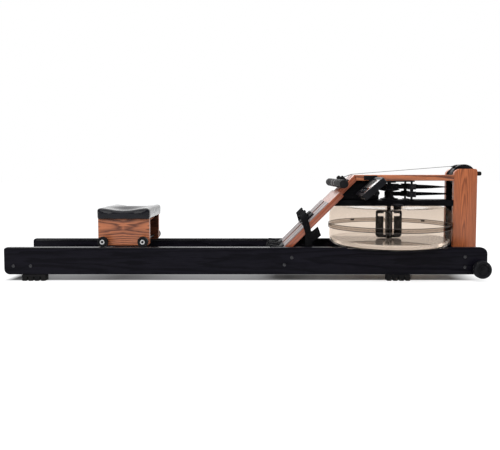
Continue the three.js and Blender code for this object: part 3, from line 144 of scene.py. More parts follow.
# Seen straight or through the tank the room is white; in reflections its back wall and ceiling
# are bright and the side behind the camera is dim
world = bpy.data.worlds.new("studioWorld")
scene.world = world
world.use_nodes = True
world.node_tree.nodes.clear()
rays = addNode(world, "LightPath").outputs
room = splitPlace(world, "Generated")
walls = [
    addRange(world, room[axis], studio["dimRoom"], *studio[wall])
    for axis, wall in (("Y", "backWall"), ("Z", "ceiling"))
]
roomGlow = addNode(world, "Background", {"Strength": addMath(world, "MAXIMUM", *walls)}, Color=white)
fillLight = addNode(world, "Background", Color=(*studio["fillColour"], 1), Strength=studio["fill"])
seenWhite = addNode(world, "Background", Color=white, Strength=1.0)
unseen = joinShaders(world, "MixShader", fillLight, roomGlow, {"Fac": rays["Is Glossy Ray"]})
straight = addMath(world, "MAXIMUM", rays["Is Camera Ray"], rays["Is Transmission Ray"])
seenMix = joinShaders(world, "MixShader", unseen, seenWhite, {"Fac": straight})
addNode(world, "OutputWorld", {"Surface": seenMix.outputs[0]})


# Finishes whose patterns run on the object's own coordinates
print("finishes")
finishes = {}


def startMaterial(name, **sockets):
    material = finishes[name] = bpy.data.materials.new(name)
    material.use_nodes = True
    shader = material.node_tree.nodes["Principled BSDF"]
    for socket, value in sockets.items():
        shader.inputs[socket.replace("_", " ")].default_value = value
    return material, shader


# Object coordinates in steps of the given sizes in metres, turned to lie along the piece
def patternPlace(material, sizes, turn=(0, 0, 0), start=(0, 0, 0)):
    place = addNode(material, "TexCoord").outputs["Object"]
    mapping = addNode(
        material, "Mapping", {"Vector": place}, vector_type="TEXTURE", Scale=sizes, Rotation=turn, Location=start
    )
    return mapping.outputs[0]


def addNoise(material, place, detail=4.0, roughness=0.55, distortion=0.0):
    values = {"Scale": 1.0, "Detail": detail, "Roughness": roughness, "Distortion": distortion}
    return addNode(material, "TexNoise", {"Vector": place}, **values).outputs["Fac"]


def addRamp(material, source, stops):
    ramp = addNode(material, "ValToRGB", {"Fac": source})
    elements = ramp.color_ramp.elements
    while len(elements) < len(stops):
        elements.new(0.5)
    for element, (place, colour) in zip(elements, stops):
        element.position = place
        element.color = (*colour, 1)
    return ramp.outputs["Color"]


# The colour follows the pattern from dark to light, and the roughness too where it is given
def paint(material, shader, pattern, dark, light, start, end, roughness=None):
    feed(material, addRamp(material, pattern, [(start, dark), (end, light)]), shader.inputs["Base Color"])
    if roughness:
        feed(material, addRange(material, pattern, *roughness), shader.inputs["Roughness"])


def addBump(material, shader, height, strength, depth):
    bump = addNode(material, "Bump", {"Height": height}, Strength=strength, Distance=depth)
    feed(material, bump.outputs[0], shader.inputs["Normal"])


# Plain-sawn ash. The growth rings lie round a heart behind the board and open slowly along it,
# so a face shows arches down its middle and straight lines at its edges; pores follow the grain.
# The board's length lies along the pattern's X, its thickness along Y and its width along Z.
def makeWood(name, light, dark, board, turn=(0, 0, 0), coat=0.3, pores=0.3, roughness=(0.3, 0.44), shine=0.5):
    material, shader = startMaterial(name, Coat_Weight=coat, Coat_Roughness=0.2, Specular_IOR_Level=shine)

    def combine(operation, first, second=0.0):
        return addMath(material, operation, first, second)

    def noiseAt(sizes, start, *texture):
        return addNoise(material, patternPlace(material, sizes, turn, start), *texture)

    heart, taper, swayWidth, flatness, ringWidth, folded = boards[board]
    place = patternPlace(material, (1, 1, 1), turn, heart)
    sway = noiseAt((0.3, 0.03, 0.03), heart, 3, 0.55)
    parts = addNode(material, "SeparateXYZ", {"Vector": place}).outputs
    along = parts["X"]
    if folded:  # the same figure runs in from both ends
        along = combine("ABSOLUTE", along)
    opening = combine("MULTIPLY", along, taper)
    swayed = combine("MULTIPLY", combine("SUBTRACT", sway, 0.5), swayWidth)
    depth = combine("ADD", combine("ADD", parts["Y"], opening), swayed)
    across = combine("MULTIPLY", parts["Z"], flatness)
    squares = combine("ADD", combine("MULTIPLY", depth, depth), combine("MULTIPLY", across, across))
    ring = combine("FRACT", combine("DIVIDE", combine("POWER", squares, 0.5), ringWidth))
    shades = ((0.0, 0.55), (0.1, 1), (0.55, 0.82), (0.86, 0.25), (1.0, 0.5))
    figure = addRamp(material, ring, [(at, (shade,) * 3) for at, shade in shades])
    fine = noiseAt((0.045, 0.0012, 0.0012), (0.3, 0.1, 0.2), 3, 0.6)
    cloud = noiseAt((0.25, 0.02, 0.02), (0.7, 0.4, 0.1), 4, 0.6, 0.8)
    tone = combine("MULTIPLY", figure, addRange(material, cloud, 0.72, 1.12))
    tone = combine("SUBTRACT", tone, addRange(material, fine, pores, 0.0, 0.32, 0.56))
    paint(material, shader, tone, dark, light, 0.12, 0.9)
    feed(material, addRange(material, fine, roughness[1], roughness[0]), shader.inputs["Roughness"])
    addBump(material, shader, fine, 0.16, 0.0005)


# Moulded plastic and rubber: a slight change of shade and a spark-eroded grain
def makeMoulded(name, dark, light, roughness, grainSize=0.0007, bump=0.2, **sockets):
    material, shader = startMaterial(name, **sockets)
    cloud = addNoise(material, patternPlace(material, (0.05, 0.05, 0.05)), 3)
    paint(material, shader, cloud, dark, light, 0.35, 0.65, roughness)
    grain = addNoise(material, patternPlace(material, (grainSize,) * 3), 2, 0.6)
    addBump(material, shader, grain, bump, grainSize * 0.6)


# Metal with fine scratches round or along it
def makeMetal(name, dark, light, roughness, sizes=(0.03, 0.0006, 0.0006), metallic=1.0, bump=0.08, **sockets):
    material, shader = startMaterial(name, Metallic=metallic, **sockets)
    scratch = addNoise(material, patternPlace(material, sizes), 4, 0.65)
    paint(material, shader, scratch, dark, light, 0.3, 0.7, roughness)
    addBump(material, shader, scratch, bump, 0.0003)


ashLight, ashDark = (0.64, 0.205, 0.082), (0.110, 0.026, 0.010)
blackLight, blackDark = (0.0088, 0.0080, 0.0130), (0.0026, 0.0023, 0.0046)
matt = 0.08
boards = {  # the heart's place, how far the rings open, their sway, flatness and width, and whether folded
    "upright": ((0.968, -0.062, 0.02), 0.05, 0.016, 1.0, 0.0058, False),
    "plate": ((-0.545, -0.1685, 0.232), -0.055, 0.016, 0.8, 0.0062, True),
    "deck": ((0.1, 0.02, 0.47), 0.03, 0.02, 1.0, 0.011, False),
    "slope": ((0.9, 0.01, 0.03), 0.06, 0.02, 1.0, 0.012, False),
    "rail": ((0.3, -0.1, 0.085), 0.02, 0.03, 1.0, 0.010, False),
}
makeWood("oxbloodAlong", ashLight, ashDark, "deck", coat=0.2)
makeWood("oxbloodPlate", ashLight, ashDark, "plate", coat=0.12)
makeWood("oxbloodUp", (0.60, 0.172, 0.060), (0.27, 0.066, 0.021), "upright", (0, -quarter, 0), 0.15)
# a much darker ash, used as painted shade on the seat plates' facing sides
makeWood("oxbloodPaintedShade", (0.12, 0.036, 0.018), (0.035, 0.011, 0.007), "plate", coat=0, shine=matt)
makeWood(
    "oxbloodSlope", (0.43, 0.112, 0.048), (0.24, 0.056, 0.025), "slope", (0, -quarter / 2, 0),
    0.5, 0.25, (0.22, 0.34),
)
makeWood("blackAlong", blackLight, blackDark, "rail", coat=0, pores=0.5, shine=0.07)
makeWood("blackAcross", blackLight, blackDark, "rail", (0, 0, quarter), 0, 0.4, (0.36, 0.5), matt)
# deep black: the lower deck and web, and painted shade on the uprights' facing sides
makeWood(
    "blackDeep", (0.004, 0.0038, 0.0055), (0.002, 0.0019, 0.003), "rail", coat=0, roughness=(0.4, 0.5), shine=matt
)
for name, dark, light, roughness, grain, bump, shine in (
    ("blackPlastic", (0.006, 0.006, 0.0075), (0.0105, 0.0105, 0.013), (0.38, 0.5), 0.0007, 0.2, 0.12),
    ("glossStrip", (0.010, 0.010, 0.012), (0.018, 0.018, 0.021), (0.2, 0.3), 0.003, 0.05, 0.3),
    ("footRubber", (0.008, 0.008, 0.009), (0.017, 0.016, 0.016), (0.6, 0.8), 0.0009, 0.35, matt),
    ("gripRubber", (0.009, 0.008, 0.009), (0.016, 0.015, 0.017), (0.5, 0.68), 0.0012, 0.5, 0.1),
    ("wheelRubber", (0.007, 0.007, 0.008), (0.013, 0.013, 0.014), (0.42, 0.56), 0.0008, 0.2, matt),
    ("paddleGrey", (0.010, 0.010, 0.011), (0.018, 0.018, 0.019), (0.35, 0.5), 0.0007, 0.2, 0.25),
    ("greyPlate", (0.265, 0.228, 0.222), (0.370, 0.318, 0.312), (0.4, 0.52), 0.0009, 0.3, 0.5),
    ("grooveGrey", (0.060, 0.050, 0.048), (0.095, 0.082, 0.080), (0.5, 0.6), 0.0007, 0.2, 0.5),
    ("sealRubber", (0.030, 0.022, 0.017), (0.055, 0.042, 0.032), (0.35, 0.5), 0.0007, 0.2, 0.5),
    ("gripBand", (0.085, 0.082, 0.085), (0.145, 0.140, 0.143), (0.5, 0.66), 0.0012, 0.5, 0.5),
    ("cordCover", (0.008, 0.008, 0.009), (0.05, 0.05, 0.055), (0.6, 0.8), 0.0016, 0.5, 0.5),
    ("segments", (0.030, 0.036, 0.034), (0.042, 0.048, 0.045), (0.3, 0.4), 0.002, 0.05, 0.5),
    # the keys' light grey is a painted glint of the bright room
    ("keys", (0.42, 0.42, 0.43), (0.56, 0.56, 0.57), (0.3, 0.42), 0.002, 0.1, 0.5),
):
    makeMoulded(name, dark, light, roughness, grain, bump, Specular_IOR_Level=shine)
makeMoulded("panel", (0.016, 0.017, 0.021), (0.022, 0.023, 0.028), (0.08, 0.12), 0.003, 0.03, Coat_Weight=1.0)
# the screen's light grey is partly its own colour and partly painted reflection of the bright room
makeMoulded("lcd", (0.46, 0.42, 0.40), (0.56, 0.51, 0.48), (0.1, 0.14), 0.004, 0.02, Coat_Weight=1.0)
makeMetal("brushedSteel", (0.42, 0.42, 0.44), (0.62, 0.62, 0.64), (0.2, 0.34), (0.002, 0.02, 0.002))
makeMetal("boltSteel", (0.035, 0.035, 0.038), (0.085, 0.085, 0.09), (0.32, 0.46), (0.004,) * 3)
makeMetal("hubSilver", (0.36, 0.36, 0.36), (0.66, 0.66, 0.65), (0.3, 0.45), (0.005,) * 3)
makeMetal(
    "powderSteel", (0.007, 0.007, 0.008), (0.012, 0.012, 0.014), (0.34, 0.5), (0.0012,) * 3, 0.3, 0.3,
    Specular_IOR_Level=0.12,
)


# The workbench: tools that select, cut, round, turn and join pieces
def leaveEdit():
    if bpy.context.object and bpy.context.object.mode != "OBJECT":
        bpy.ops.object.mode_set(mode="OBJECT")


def clearSelection():
    leaveEdit()
    bpy.ops.object.select_all(action="DESELECT")


def takeUp(piece):
    clearSelection()
    piece.select_set(True)
    bpy.context.view_layer.objects.active = piece


# Location, turn and scale go into the mesh, so the piece sits at the origin as a CAD node does
def settle(piece, place=None, turn=None):
    if place:
        piece.location = place
    if turn:
        piece.rotation_euler = turn
    takeUp(piece)
    bpy.ops.object.transform_apply(location=True, rotation=True, scale=True)
    return piece


def choose(piece, kind="FACE", test=lambda item: True):
    if piece.mode != "EDIT":
        takeUp(piece)
        bpy.ops.object.mode_set(mode="EDIT")
    bpy.ops.mesh.select_mode(type=kind)
    bpy.ops.mesh.select_all(action="DESELECT")
    mesh = bmesh.from_edit_mesh(piece.data)
    for item in {"VERT": mesh.verts, "EDGE": mesh.edges, "FACE": mesh.faces}[kind]:
        item.select_set(bool(test(item)))
    mesh.select_flush_mode()
    bmesh.update_edit_mesh(piece.data)


def addBlock(name, low, high):
    clearSelection()
    middle = [(a + b) / 2 for a, b in zip(low, high)]
    bpy.ops.mesh.primitive_cube_add(size=1, location=middle, scale=[b - a for a, b in zip(low, high)])
    piece = bpy.context.object
    piece.name = name
    return settle(piece)


# A block across the machine: from start to end, half its width to each side of y
def addBar(name, start, end, y, half, low, high):
    return addBlock(name, (start, y - half, low), (end, y + half, high))


def addRod(vertices, radius, depth, place, turn=(0, 0, 0)):
    clearSelection()
    bpy.ops.mesh.primitive_cylinder_add(
        vertices=vertices, radius=radius, depth=depth, location=place, rotation=turn
    )
    return bpy.context.object


# Rounds the edges that run along one axis, the way a router rounds a board's corners
def roundEdges(piece, axis, radius, test=lambda middle: True, segments=5):
    number = "XYZ".index(axis)

    def runsAlong(edge):
        a, b = (vert.co for vert in edge.verts)
        span = b - a
        return abs(span[number]) > 0.98 * span.length > 0 and test((a + b) / 2)

    choose(piece, "EDGE", runsAlong)
    bpy.ops.mesh.bevel(offset=radius, segments=segments, affect="EDGES")
    leaveEdit()
    return piece


# The faces that look up, or along the given axis, get a rim and sink inside it
def sinkFace(piece, rim, move, axis=2):
    choose(piece, "FACE", lambda face: face.normal[axis] > 0.9)
    bpy.ops.mesh.inset(thickness=rim)
    bpy.ops.transform.translate(value=move)
    leaveEdit()
    return piece


def applyModifier(piece, kind, **values):
    takeUp(piece)
    modifier = piece.modifiers.new(kind.lower(), kind)
    for key, value in values.items():
        setattr(modifier, key, value)
    bpy.ops.object.modifier_apply(modifier=modifier.name)
    return piece


def smoothShade(piece, angle=35):
    takeUp(piece)
    bpy.ops.object.shade_smooth_by_angle(angle=math.radians(angle))
    return piece


def softenEdges(piece, width, segments=2, angle=35):
    applyModifier(
        piece, "BEVEL", width=width, segments=segments, limit_method="ANGLE",
        angle_limit=math.radians(angle), use_clamp_overlap=True,
    )
    return smoothShade(piece, 40)


def subtract(piece, cutter):
    applyModifier(piece, "BOOLEAN", operation="DIFFERENCE", object=cutter, solver="EXACT")
    bpy.data.objects.remove(cutter, do_unlink=True)
    return piece


def copyPiece(piece, name):
    takeUp(piece)
    bpy.ops.object.duplicate(linked=False)
    twin = bpy.context.object
    twin.name = name
    return twin


def joinPieces(name, pieces):
    clearSelection()
    for piece in pieces:
        piece.select_set(True)
    bpy.context.view_layer.objects.active = pieces[0]
    if len(pieces) > 1:
        bpy.ops.object.join()
    pieces[0].name = name
    return pieces[0]


def turnOut(piece):
    choose(piece)
    bpy.ops.mesh.normals_make_consistent(inside=False)
    leaveEdit()


# A profile of (radius, height) points from numbers in millimetres, for the other side with side -1
def points(*numbers, side=1):
    return [(a / 1000, side * b / 1000) for a, b in zip(numbers[::2], numbers[1::2])]


# A turned piece: one point is drawn out along its profile and spun round the axis
def turnPiece(name, profile, steps=48, at=(0, 0, 0), axis="Z"):
    clearSelection()
    bpy.ops.mesh.primitive_plane_add(size=0.01)
    piece = bpy.context.object
    piece.name = name
    bpy.ops.object.mode_set(mode="EDIT")
    bpy.ops.mesh.select_mode(type="VERT")
    bpy.ops.mesh.select_all(action="SELECT")
    bpy.ops.mesh.merge(type="CENTER")
    bpy.ops.transform.translate(value=(profile[0][0], 0, profile[0][1]))
    for before, after in zip(profile, profile[1:]):
        step = (after[0] - before[0], 0, after[1] - before[1])
        bpy.ops.mesh.extrude_vertices_move(TRANSFORM_OT_translate={"value": step})
    bpy.ops.mesh.select_all(action="SELECT")
    bpy.ops.mesh.spin(steps=steps, angle=2 * math.pi, center=(0, 0, 0), axis=(0, 0, 1))
    bpy.ops.mesh.select_all(action="SELECT")
    bpy.ops.mesh.remove_doubles(threshold=0.000004)
    bpy.ops.mesh.normals_make_consistent(inside=False)
    bpy.ops.object.mode_set(mode="OBJECT")
    return settle(piece, at, {"X": (0, quarter, 0), "Y": (-quarter, 0, 0), "Z": (0, 0, 0)}[axis])


# A band that follows stations of (place, direction of its width), with its length in its own UV
def layBand(name, stations, width, thickness, close=0.0004):
    corners = []
    last = len(stations) - 1
    for index, (place, across) in enumerate(stations):
        along = Vector(stations[min(index + 1, last)][0]) - Vector(stations[max(index - 1, 0)][0])
        wide = Vector(across).normalized()
        thick = along.cross(wide).normalized()
        for a, b in ((-1, -1), (1, -1), (1, 1), (-1, 1)):
            corners.append(tuple(Vector(place) + wide * a * width / 2 + thick * b * thickness / 2))
    faces = [(0, 1, 2, 3), tuple(4 * last + k for k in (3, 2, 1, 0))]
    for index in range(last):
        for k in range(4):
            a, b = 4 * index + k, 4 * index + (k + 1) % 4
            faces.append((a, a + 4, b + 4, b))
    mesh = bpy.data.meshes.new(name)
    mesh.from_pydata(corners, [], faces)
    piece = bpy.data.objects.new(name, mesh)
    scene.collection.objects.link(piece)
    layer = mesh.uv_layers.new(name="weave")
    run = [0.0]
    for before, after in zip(stations, stations[1:]):
        run.append(run[-1] + (Vector(after[0]) - Vector(before[0])).length)
    for loop in mesh.loops:
        station, corner = divmod(loop.vertex_index, 4)
        layer.data[loop.index].uv = (run[station], (corner in (1, 2)) * width)
    turnOut(piece)
    if close:
        softenEdges(piece, close, 2, 50)
    return smoothShade(piece, 50)


# A CAD node's shape with its triangles joined into flat faces and its edges eased
def easedNode(node, name, width, segments=2, angle=35):
    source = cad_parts[node]
    mesh = source.data.copy()
    mesh.name = name
    mesh.materials.clear()
    piece = bpy.data.objects.new(name, mesh)
    piece.matrix_world = source.matrix_world
    scene.collection.objects.link(piece)
    settle(piece)
    choose(piece, "VERT")
    bpy.ops.mesh.remove_doubles(threshold=0.000005)
    bpy.ops.mesh.dissolve_limited(angle_limit=math.radians(1.5))
    leaveEdit()
    if width:
        softenEdges(piece, width, segments, angle)
    return piece


def finish(piece, material, slot, body, *nodes):
    piece.data.materials.clear()
    piece.data.materials.append(finishes[material])
    if nodes:
        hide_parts(*nodes)
    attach(piece, body)
    return piece


# The faces that pass the test get a second material
def paintFaces(piece, material, test):
    piece.data.materials.append(finishes[material])
    for face in piece.data.polygons:
        face.material_index = int(test(face.center, face.normal))


def dressNode(node, name, width, segments, material, slot, body="frame", angle=35):
    return finish(easedNode(node, name, width, segments, angle), material, slot, body, node)


def dressTurned(name, profile, steps, at, axis, angle, material, slot, body, *nodes):
    return finish(smoothShade(turnPiece(name, profile, steps, at, axis), angle), material, slot, body, *nodes)


sides = ((-1, "right", "Right"), (1, "left", "Left"))

# A place on the sloping footboard: along it from the mitre, across, and above the plank's middle
mitre = Vector((0.480, 0, 0.442))
slopeCos = math.cos(math.pi / 4)


def onSlope(along, y, above):
    return Vector((mitre.x + (along - above) * slopeCos, y, mitre.z + (along + above) * slopeCos))


def layOnSlope(piece):  # a piece drawn flat with the mitre at the origin goes to its slope
    piece.matrix_world = Matrix.Translation(mitre) @ Matrix.Rotation(-math.pi / 4, 4, "Y")
    return settle(piece)


# Rails, runner strips and cross blocks
print("rails")
rails = {
    "inner": 0.143, "outer": 0.168, "low": 0.0273, "top": 0.144, "rear": -1.0482, "front": 1.0308, "edge": 0.0016,
    "rearTop": 0.012, "rearLow": 0.024, "frontTop": 0.028, "frontLow": 0.012, "rebate": (-1.0345, 0.0961, 0.1407),
    "notch": (0.6455, 0.2165, 0.006), "boltRadius": 0.0072, "boltProud": 0.0031, "hexagon": 0.0029,
    "bolts": points(-1007.7, 64.3, -933.7, 64.3, 934.2, 58.8, 934.2, 103.8, 157.4, 69.0, 189.2, 100.8),
}
axle = {"x": 0.9998, "z": 0.052, "hole": 0.0063}


# A socket screw's head: a turned dome with a hexagon pressed into it
def makeBolt(name, at, side):
    radius, proud = rails["boltRadius"], rails["boltProud"]
    head = turnPiece(name, [
        (0, -0.002), (radius, -0.002), (radius, proud * 0.35), (radius * 0.93, proud * 0.75),
        (radius * 0.74, proud), (0.0034, proud), (0, proud),
    ], 30)
    subtract(head, addRod(6, rails["hexagon"], 0.004, (0, 0, proud)))
    return smoothShade(settle(head, at, (-side * quarter, random.uniform(0, 1), 0)))


# A board with its four corners rounded, a rebate for the runner, a notch for the tank and a hole
def makeRail(name, side):
    near, far = sorted((side * rails["inner"], side * rails["outer"]))
    rear, front, low, top = (rails[key] for key in ("rear", "front", "low", "top"))
    rail = addBlock(name, (rear, near, low), (front, far, top))
    for end, x in (("rear", rear), ("front", front)):
        for level, z in (("Top", top), ("Low", low)):
            roundEdges(rail, "Y", rails[end + level], lambda at: math.hypot(at.x - x, at.z - z) < 0.001, 8)
    start, end, shelf = rails["rebate"]
    subtract(rail, addBlock("rebate", (start, near - 0.01, shelf), (end, far + 0.01, (low + top) / 2 + 0.2)))
    centre, half, depth = rails["notch"]
    notch = addBlock("notch", (centre - half, near - 0.01, top - depth), (centre + half, far + 0.01, top + depth))
    choose(notch, "VERT", lambda vert: vert.co.z > top)
    bpy.ops.transform.resize(value=((half + 2 * depth) / half, 1, 1), center_override=(centre, 0, top))
    leaveEdit()
    subtract(rail, notch)
    subtract(rail, addRod(32, axle["hole"], 0.5, (axle["x"], 0, axle["z"]), (quarter, 0, 0)))
    return softenEdges(rail, rails["edge"], 3, 40)


for side, word, title in sides:
    finish(makeRail(f"rail{title}", side), "blackAlong", "rail", "frame", f"rail_{word}")
    bolts = [
        makeBolt(f"bolt{word}{number}", (x, side * rails["outer"], z), side)
        for number, (x, z) in enumerate(rails["bolts"])
    ]
    finish(joinPieces(f"railBolts{title}", bolts), "boltSteel", "black_steel", "frame")
    dressNode(f"track_{word}", f"runner{title}", 0.0009, 3, "glossStrip", "gloss_black")
for node in ("rear_spreader", "front_spreader", "footboard_block"):
    dressNode(node, f"{node}Eased", 0.002, 3, "blackAcross", "rail")


# Feet
print("feet")
feet = {
    "length": 0.102, "width": 0.034, "height": 0.027, "lobes": 4, "groove": 0.005, "rise": 0.018, "round": 0.0045,
    "y": 0.1555, "starts": {"rear": -0.9707, "front": 0.5973},
}


# A rubber block whose sole is drawn down into rounded lobes
def makeFoot(name, startX, middleY):
    groove = feet["groove"]
    lobe = (feet["length"] - groove * (feet["lobes"] - 1)) / feet["lobes"]
    foot = addBar(name, startX, startX + feet["length"], middleY, feet["width"] / 2, feet["rise"], feet["height"])
    for number in range(1, feet["lobes"]):
        for cut in (startX + number * lobe + (number - 1) * groove, startX + number * (lobe + groove)):
            choose(foot)
            bpy.ops.mesh.bisect(plane_co=(cut, 0, 0), plane_no=(1, 0, 0))

    def underLobe(face):
        return face.normal.z < -0.9 and (face.calc_center_median().x - startX) % (lobe + groove) < lobe

    choose(foot, "FACE", underLobe)
    bpy.ops.mesh.extrude_region_move(TRANSFORM_OT_translate={"value": (0, 0, -feet["rise"])})
    leaveEdit()
    roundEdges(foot, "Y", feet["round"], lambda middle: middle.z < 0.002, 6)
    return softenEdges(foot, 0.0014, 3, 40)


for side, word, title in sides:
    for place, startX in feet["starts"].items():
        foot = makeFoot(f"foot{place.title()}{title}", startX, side * feet["y"])
        finish(foot, "footRubber", "rubber", "frame", f"foot_{place}_{word}")


# Transport wheels
print("transport wheels")
transport = {
    "radius": 0.0386, "inner": 0.174, "outer": 0.204, "bore": 0.0065, "spokes": 6, "spoke": (0.0152, 0.0252),
    "spokeHalf": 0.0015, "spokeLow": 0.0075, "spokeTop": 0.0032,
}


def makeTransportWheel(name):
    r, low, high, bore = (transport[key] for key in ("radius", "inner", "outer", "bore"))
    profile = [(bore, low)] + [(x, low + y) for x, y in points(
        15.5, 0, 15.8, 4.2, 24.5, 4.8, 26.2, 2, 27.8, 0.3, 31.2, 0, 35.2, 1.6, 37.7, 4.6,
    )] + [(r, low + 0.009), (r, high - 0.009)] + [(x, high - y) for x, y in points(
        37.7, 4.6, 35.2, 1.6, 31.2, 0, 27.8, 0.3, 26.2, 2, 24.5, 6.4, 15.8, 5.8, 15.5, 2.5,
    )] + [(bore, high - 0.0025), (bore, low)]
    centre = (axle["x"], 0, axle["z"])
    wheel = [smoothShade(turnPiece(name, profile, 64, centre, "Y"), 45)]
    start, end = high - transport["spokeLow"], high - transport["spokeTop"]
    for number in range(transport["spokes"]):
        rib = addBar(f"{name}Rib{number}", *transport["spoke"], 0, transport["spokeHalf"], start, end)
        settle(rib, turn=(0, 0, 2 * math.pi * number / transport["spokes"]))
        wheel.append(softenEdges(settle(rib, centre, (-quarter, 0, 0)), 0.0005))
    return joinPieces(name, wheel)


leftWheel = makeTransportWheel("transportWheelLeft")
rightWheel = copyPiece(leftWheel, "transportWheelRight")
rightWheel.scale.y = -1
turnOut(settle(rightWheel))
for word, wheel in (("right", rightWheel), ("left", leftWheel)):
    finish(wheel, "blackPlastic", "black_plastic", f"transport_wheel_{word}", f"transport_wheel_{word}")
dressNode("transport_axle", "transportAxle", 0.0007, 2, "powderSteel", "steel", angle=30)


# Tank
print("tank")
tank = {
    "x": 0.6455, "seam": 0.2255, "half": 0.0875, "radius": 0.2725, "wall": 0.004, "corner": 0.040,
    "flange": 0.2757, "flangeHeight": 0.0092, "ease": 0.0008, "hole": 0.017, "fillY": -0.150, "top": 0.313,
    "waterTop": 0.1655, "waterLow": 0.1425, "waterRound": 0.0352, "lugs": (39.6, 116.8), "bead": 0.0013,
    "lugDepth": (0.0042, 0.0006), "lugHalf": 0.0095, "lugHeight": (-0.0015, 0.0062),
    "grip": (0.0135, 0.0025), "gripHeight": (0.329, 0.3303),
}
seamPlace = (tank["x"], 0, tank["seam"])
fillPlace = (tank["x"], tank["fillY"], 0)


# Clear moulding: light goes nearly straight through, and a hard skin carries the glints
def makeClearPlastic(name, tint, ior, transmission, coat):
    material, shader = startMaterial(
        name, IOR=ior, Transmission_Weight=transmission, Roughness=0.015, Coat_Weight=coat, Coat_Roughness=0.03
    )
    cloud = addNoise(material, patternPlace(material, (0.2, 0.2, 0.12), start=(tank["x"], 0, 0)), 2, 0.5)
    paint(material, shader, cloud, tint, tuple(min(c * 1.03, 1) for c in tint), 0.3, 0.7)


makeClearPlastic("smokedShell", (0.79, 0.72, 0.655), 1.004, 1.0, 0.06)
makeClearPlastic("smokedFlange", (0.20, 0.155, 0.122), 1.004, 1.0, 0.06)
makeClearPlastic("water", (0.93, 0.915, 0.90), 1.04, 0.9, 0.0)
makeClearPlastic("waterSkin", (0.93, 0.915, 0.90), 1.04, 0.9, 1.0)


# Half of the shell as a turned wall: flange at the seam, straight side, round shoulder, flat face
def shellProfile(hole, drop):
    radius, half, wall, reach, height, ease = (
        tank[key] for key in ("radius", "half", "wall", "flange", "flangeHeight", "ease")
    )
    outside, inside = [], []
    for step in range(13):
        angle = quarter * step / 12
        for path, bend in ((outside, tank["corner"]), (inside, tank["corner"] - wall)):
            path.append((
                radius - tank["corner"] + bend * math.cos(angle), half - tank["corner"] + bend * math.sin(angle),
            ))
    start = (radius - wall, 0.001)
    flange = [
        (reach - ease, 0.001), (reach, 0.001 + ease), (reach, height - ease), (reach - ease, height),
        (radius + 0.0006, height), (radius, height + ease),
    ]
    # two moulded steps near the hub make the upper face read as a pressing, not a plate
    face = [(0.118, half), (0.1165, half - drop), (0.074, half - drop), (0.0725, half)]
    back = [(r, z - wall) for r, z in reversed(face)]
    return [start] + flange + outside + face + [(hole, half), (hole, half - wall)] + back + inside[::-1] + [start]


# The flange is thicker than the wall, so it is a shade darker all round
def finishShell(shell, node):
    finish(smoothShade(shell, 30), "smokedShell", "tank_shell", "frame", node)
    paintFaces(
        shell, "smokedFlange",
        lambda at, normal: abs(at.z - tank["seam"]) < tank["flangeHeight"]
        and math.hypot(at.x - tank["x"], at.y) > tank["radius"],
    )


upperShell = turnPiece("tankUpper", shellProfile(tank["hole"], 0.0008), 128, seamPlace)
subtract(upperShell, addRod(40, tank["hole"], 0.03, (tank["x"], tank["fillY"], tank["top"])))
collar = turnPiece("fillCollar", points(
    17.1, 313.1, 21.2, 313.1, 21.2, 320.5, 20.6, 321, 17.7, 321, 17.1, 320.5, 17.1, 313.1,
), 48, fillPlace)
finishShell(joinPieces("tankUpper", [smoothShade(upperShell, 30), smoothShade(collar, 30)]), "tank_upper")
lowerProfile = [(r, -z) for r, z in shellProfile(0, 0)]
finishShell(turnPiece("tankLower", lowerProfile, 128, seamPlace), "tank_lower")

sealInner, sealReach, sealHalf = tank["radius"] - 0.0034, tank["flange"] + 0.0003, 0.0007
sealProfile = [
    (sealInner, -sealHalf), (sealReach - 0.0005, -sealHalf), (sealReach, 0), (sealReach - 0.0005, sealHalf),
    (sealInner, sealHalf), (sealInner, -sealHalf),
]
dressTurned("tankSeal", sealProfile, 128, seamPlace, "Z", 50, "smokedFlange", "seal", "frame", "tank_seal")
for side, word in ((-1, "Lower"), (1, "Upper")):
    clearSelection()
    bpy.ops.mesh.primitive_torus_add(
        location=(tank["x"], 0, tank["seam"] + side * tank["flangeHeight"]),
        major_segments=128, minor_segments=10,
        major_radius=tank["flange"] + 0.0004 - tank["bead"], minor_radius=tank["bead"],
    )
    bead = bpy.context.object
    bead.name = f"sealBead{word}"
    finish(smoothShade(settle(bead), 60), "sealRubber", "seal", "frame")

# Two clamp lugs on the far side of the seam
lugs = []
inner, outer = tank["lugDepth"]
start, end = tank["flange"] - inner, tank["flange"] + outer
for number, degrees in enumerate(tank["lugs"]):
    lug = addBar(f"seamLug{number}", start, end, 0, tank["lugHalf"], *tank["lugHeight"])
    softenEdges(sinkFace(lug, 0.002, (-0.0006, 0, 0), 0), 0.0006)
    lugs.append(settle(lug, seamPlace, (0, 0, math.radians(degrees))))
finish(joinPieces("seamLugs", lugs), "sealRubber", "seal", "frame")

# The water lies just under the blades; its level skin mirrors the paddle
waterReach, waterRound = tank["radius"] - tank["wall"] - 0.0008, tank["waterRound"]
level = math.acos(1 - (tank["waterTop"] - tank["waterLow"]) / waterRound)
waterProfile = [(0, tank["waterLow"])]
for step in range(9):
    angle = level * step / 8
    waterProfile.append((
        waterReach - waterRound * (1 - math.sin(angle)), tank["waterLow"] + waterRound * (1 - math.cos(angle)),
    ))
waterProfile.append((0, tank["waterTop"]))
waterBody = dressTurned(
    "waterBody", waterProfile, 96, (tank["x"], 0, 0), "Z", 30, "water", "tank_shell", "frame"
)
paintFaces(waterBody, "waterSkin", lambda at, normal: normal.z > 0.9)

plug = turnPiece("fillPlug", points(
    0, 307.5, 16.4, 307.5, 16.4, 321.3, 23.6, 321.3, 24, 321.7, 24, 327.5, 23.2, 328.8, 20.5, 330.1, 16.5, 330.3,
    15.8, 329.2, 0, 329.2,
), 64, fillPlace)
reach, half = tank["grip"]
grip = settle(addBar("plugGrip", -reach, reach, 0, half, *tank["gripHeight"]), fillPlace)
plug = joinPieces("fillPlug", [smoothShade(plug), softenEdges(grip, 0.0006)])
finish(plug, "blackPlastic", "black_plastic", "fill_plug", "fill_plug")


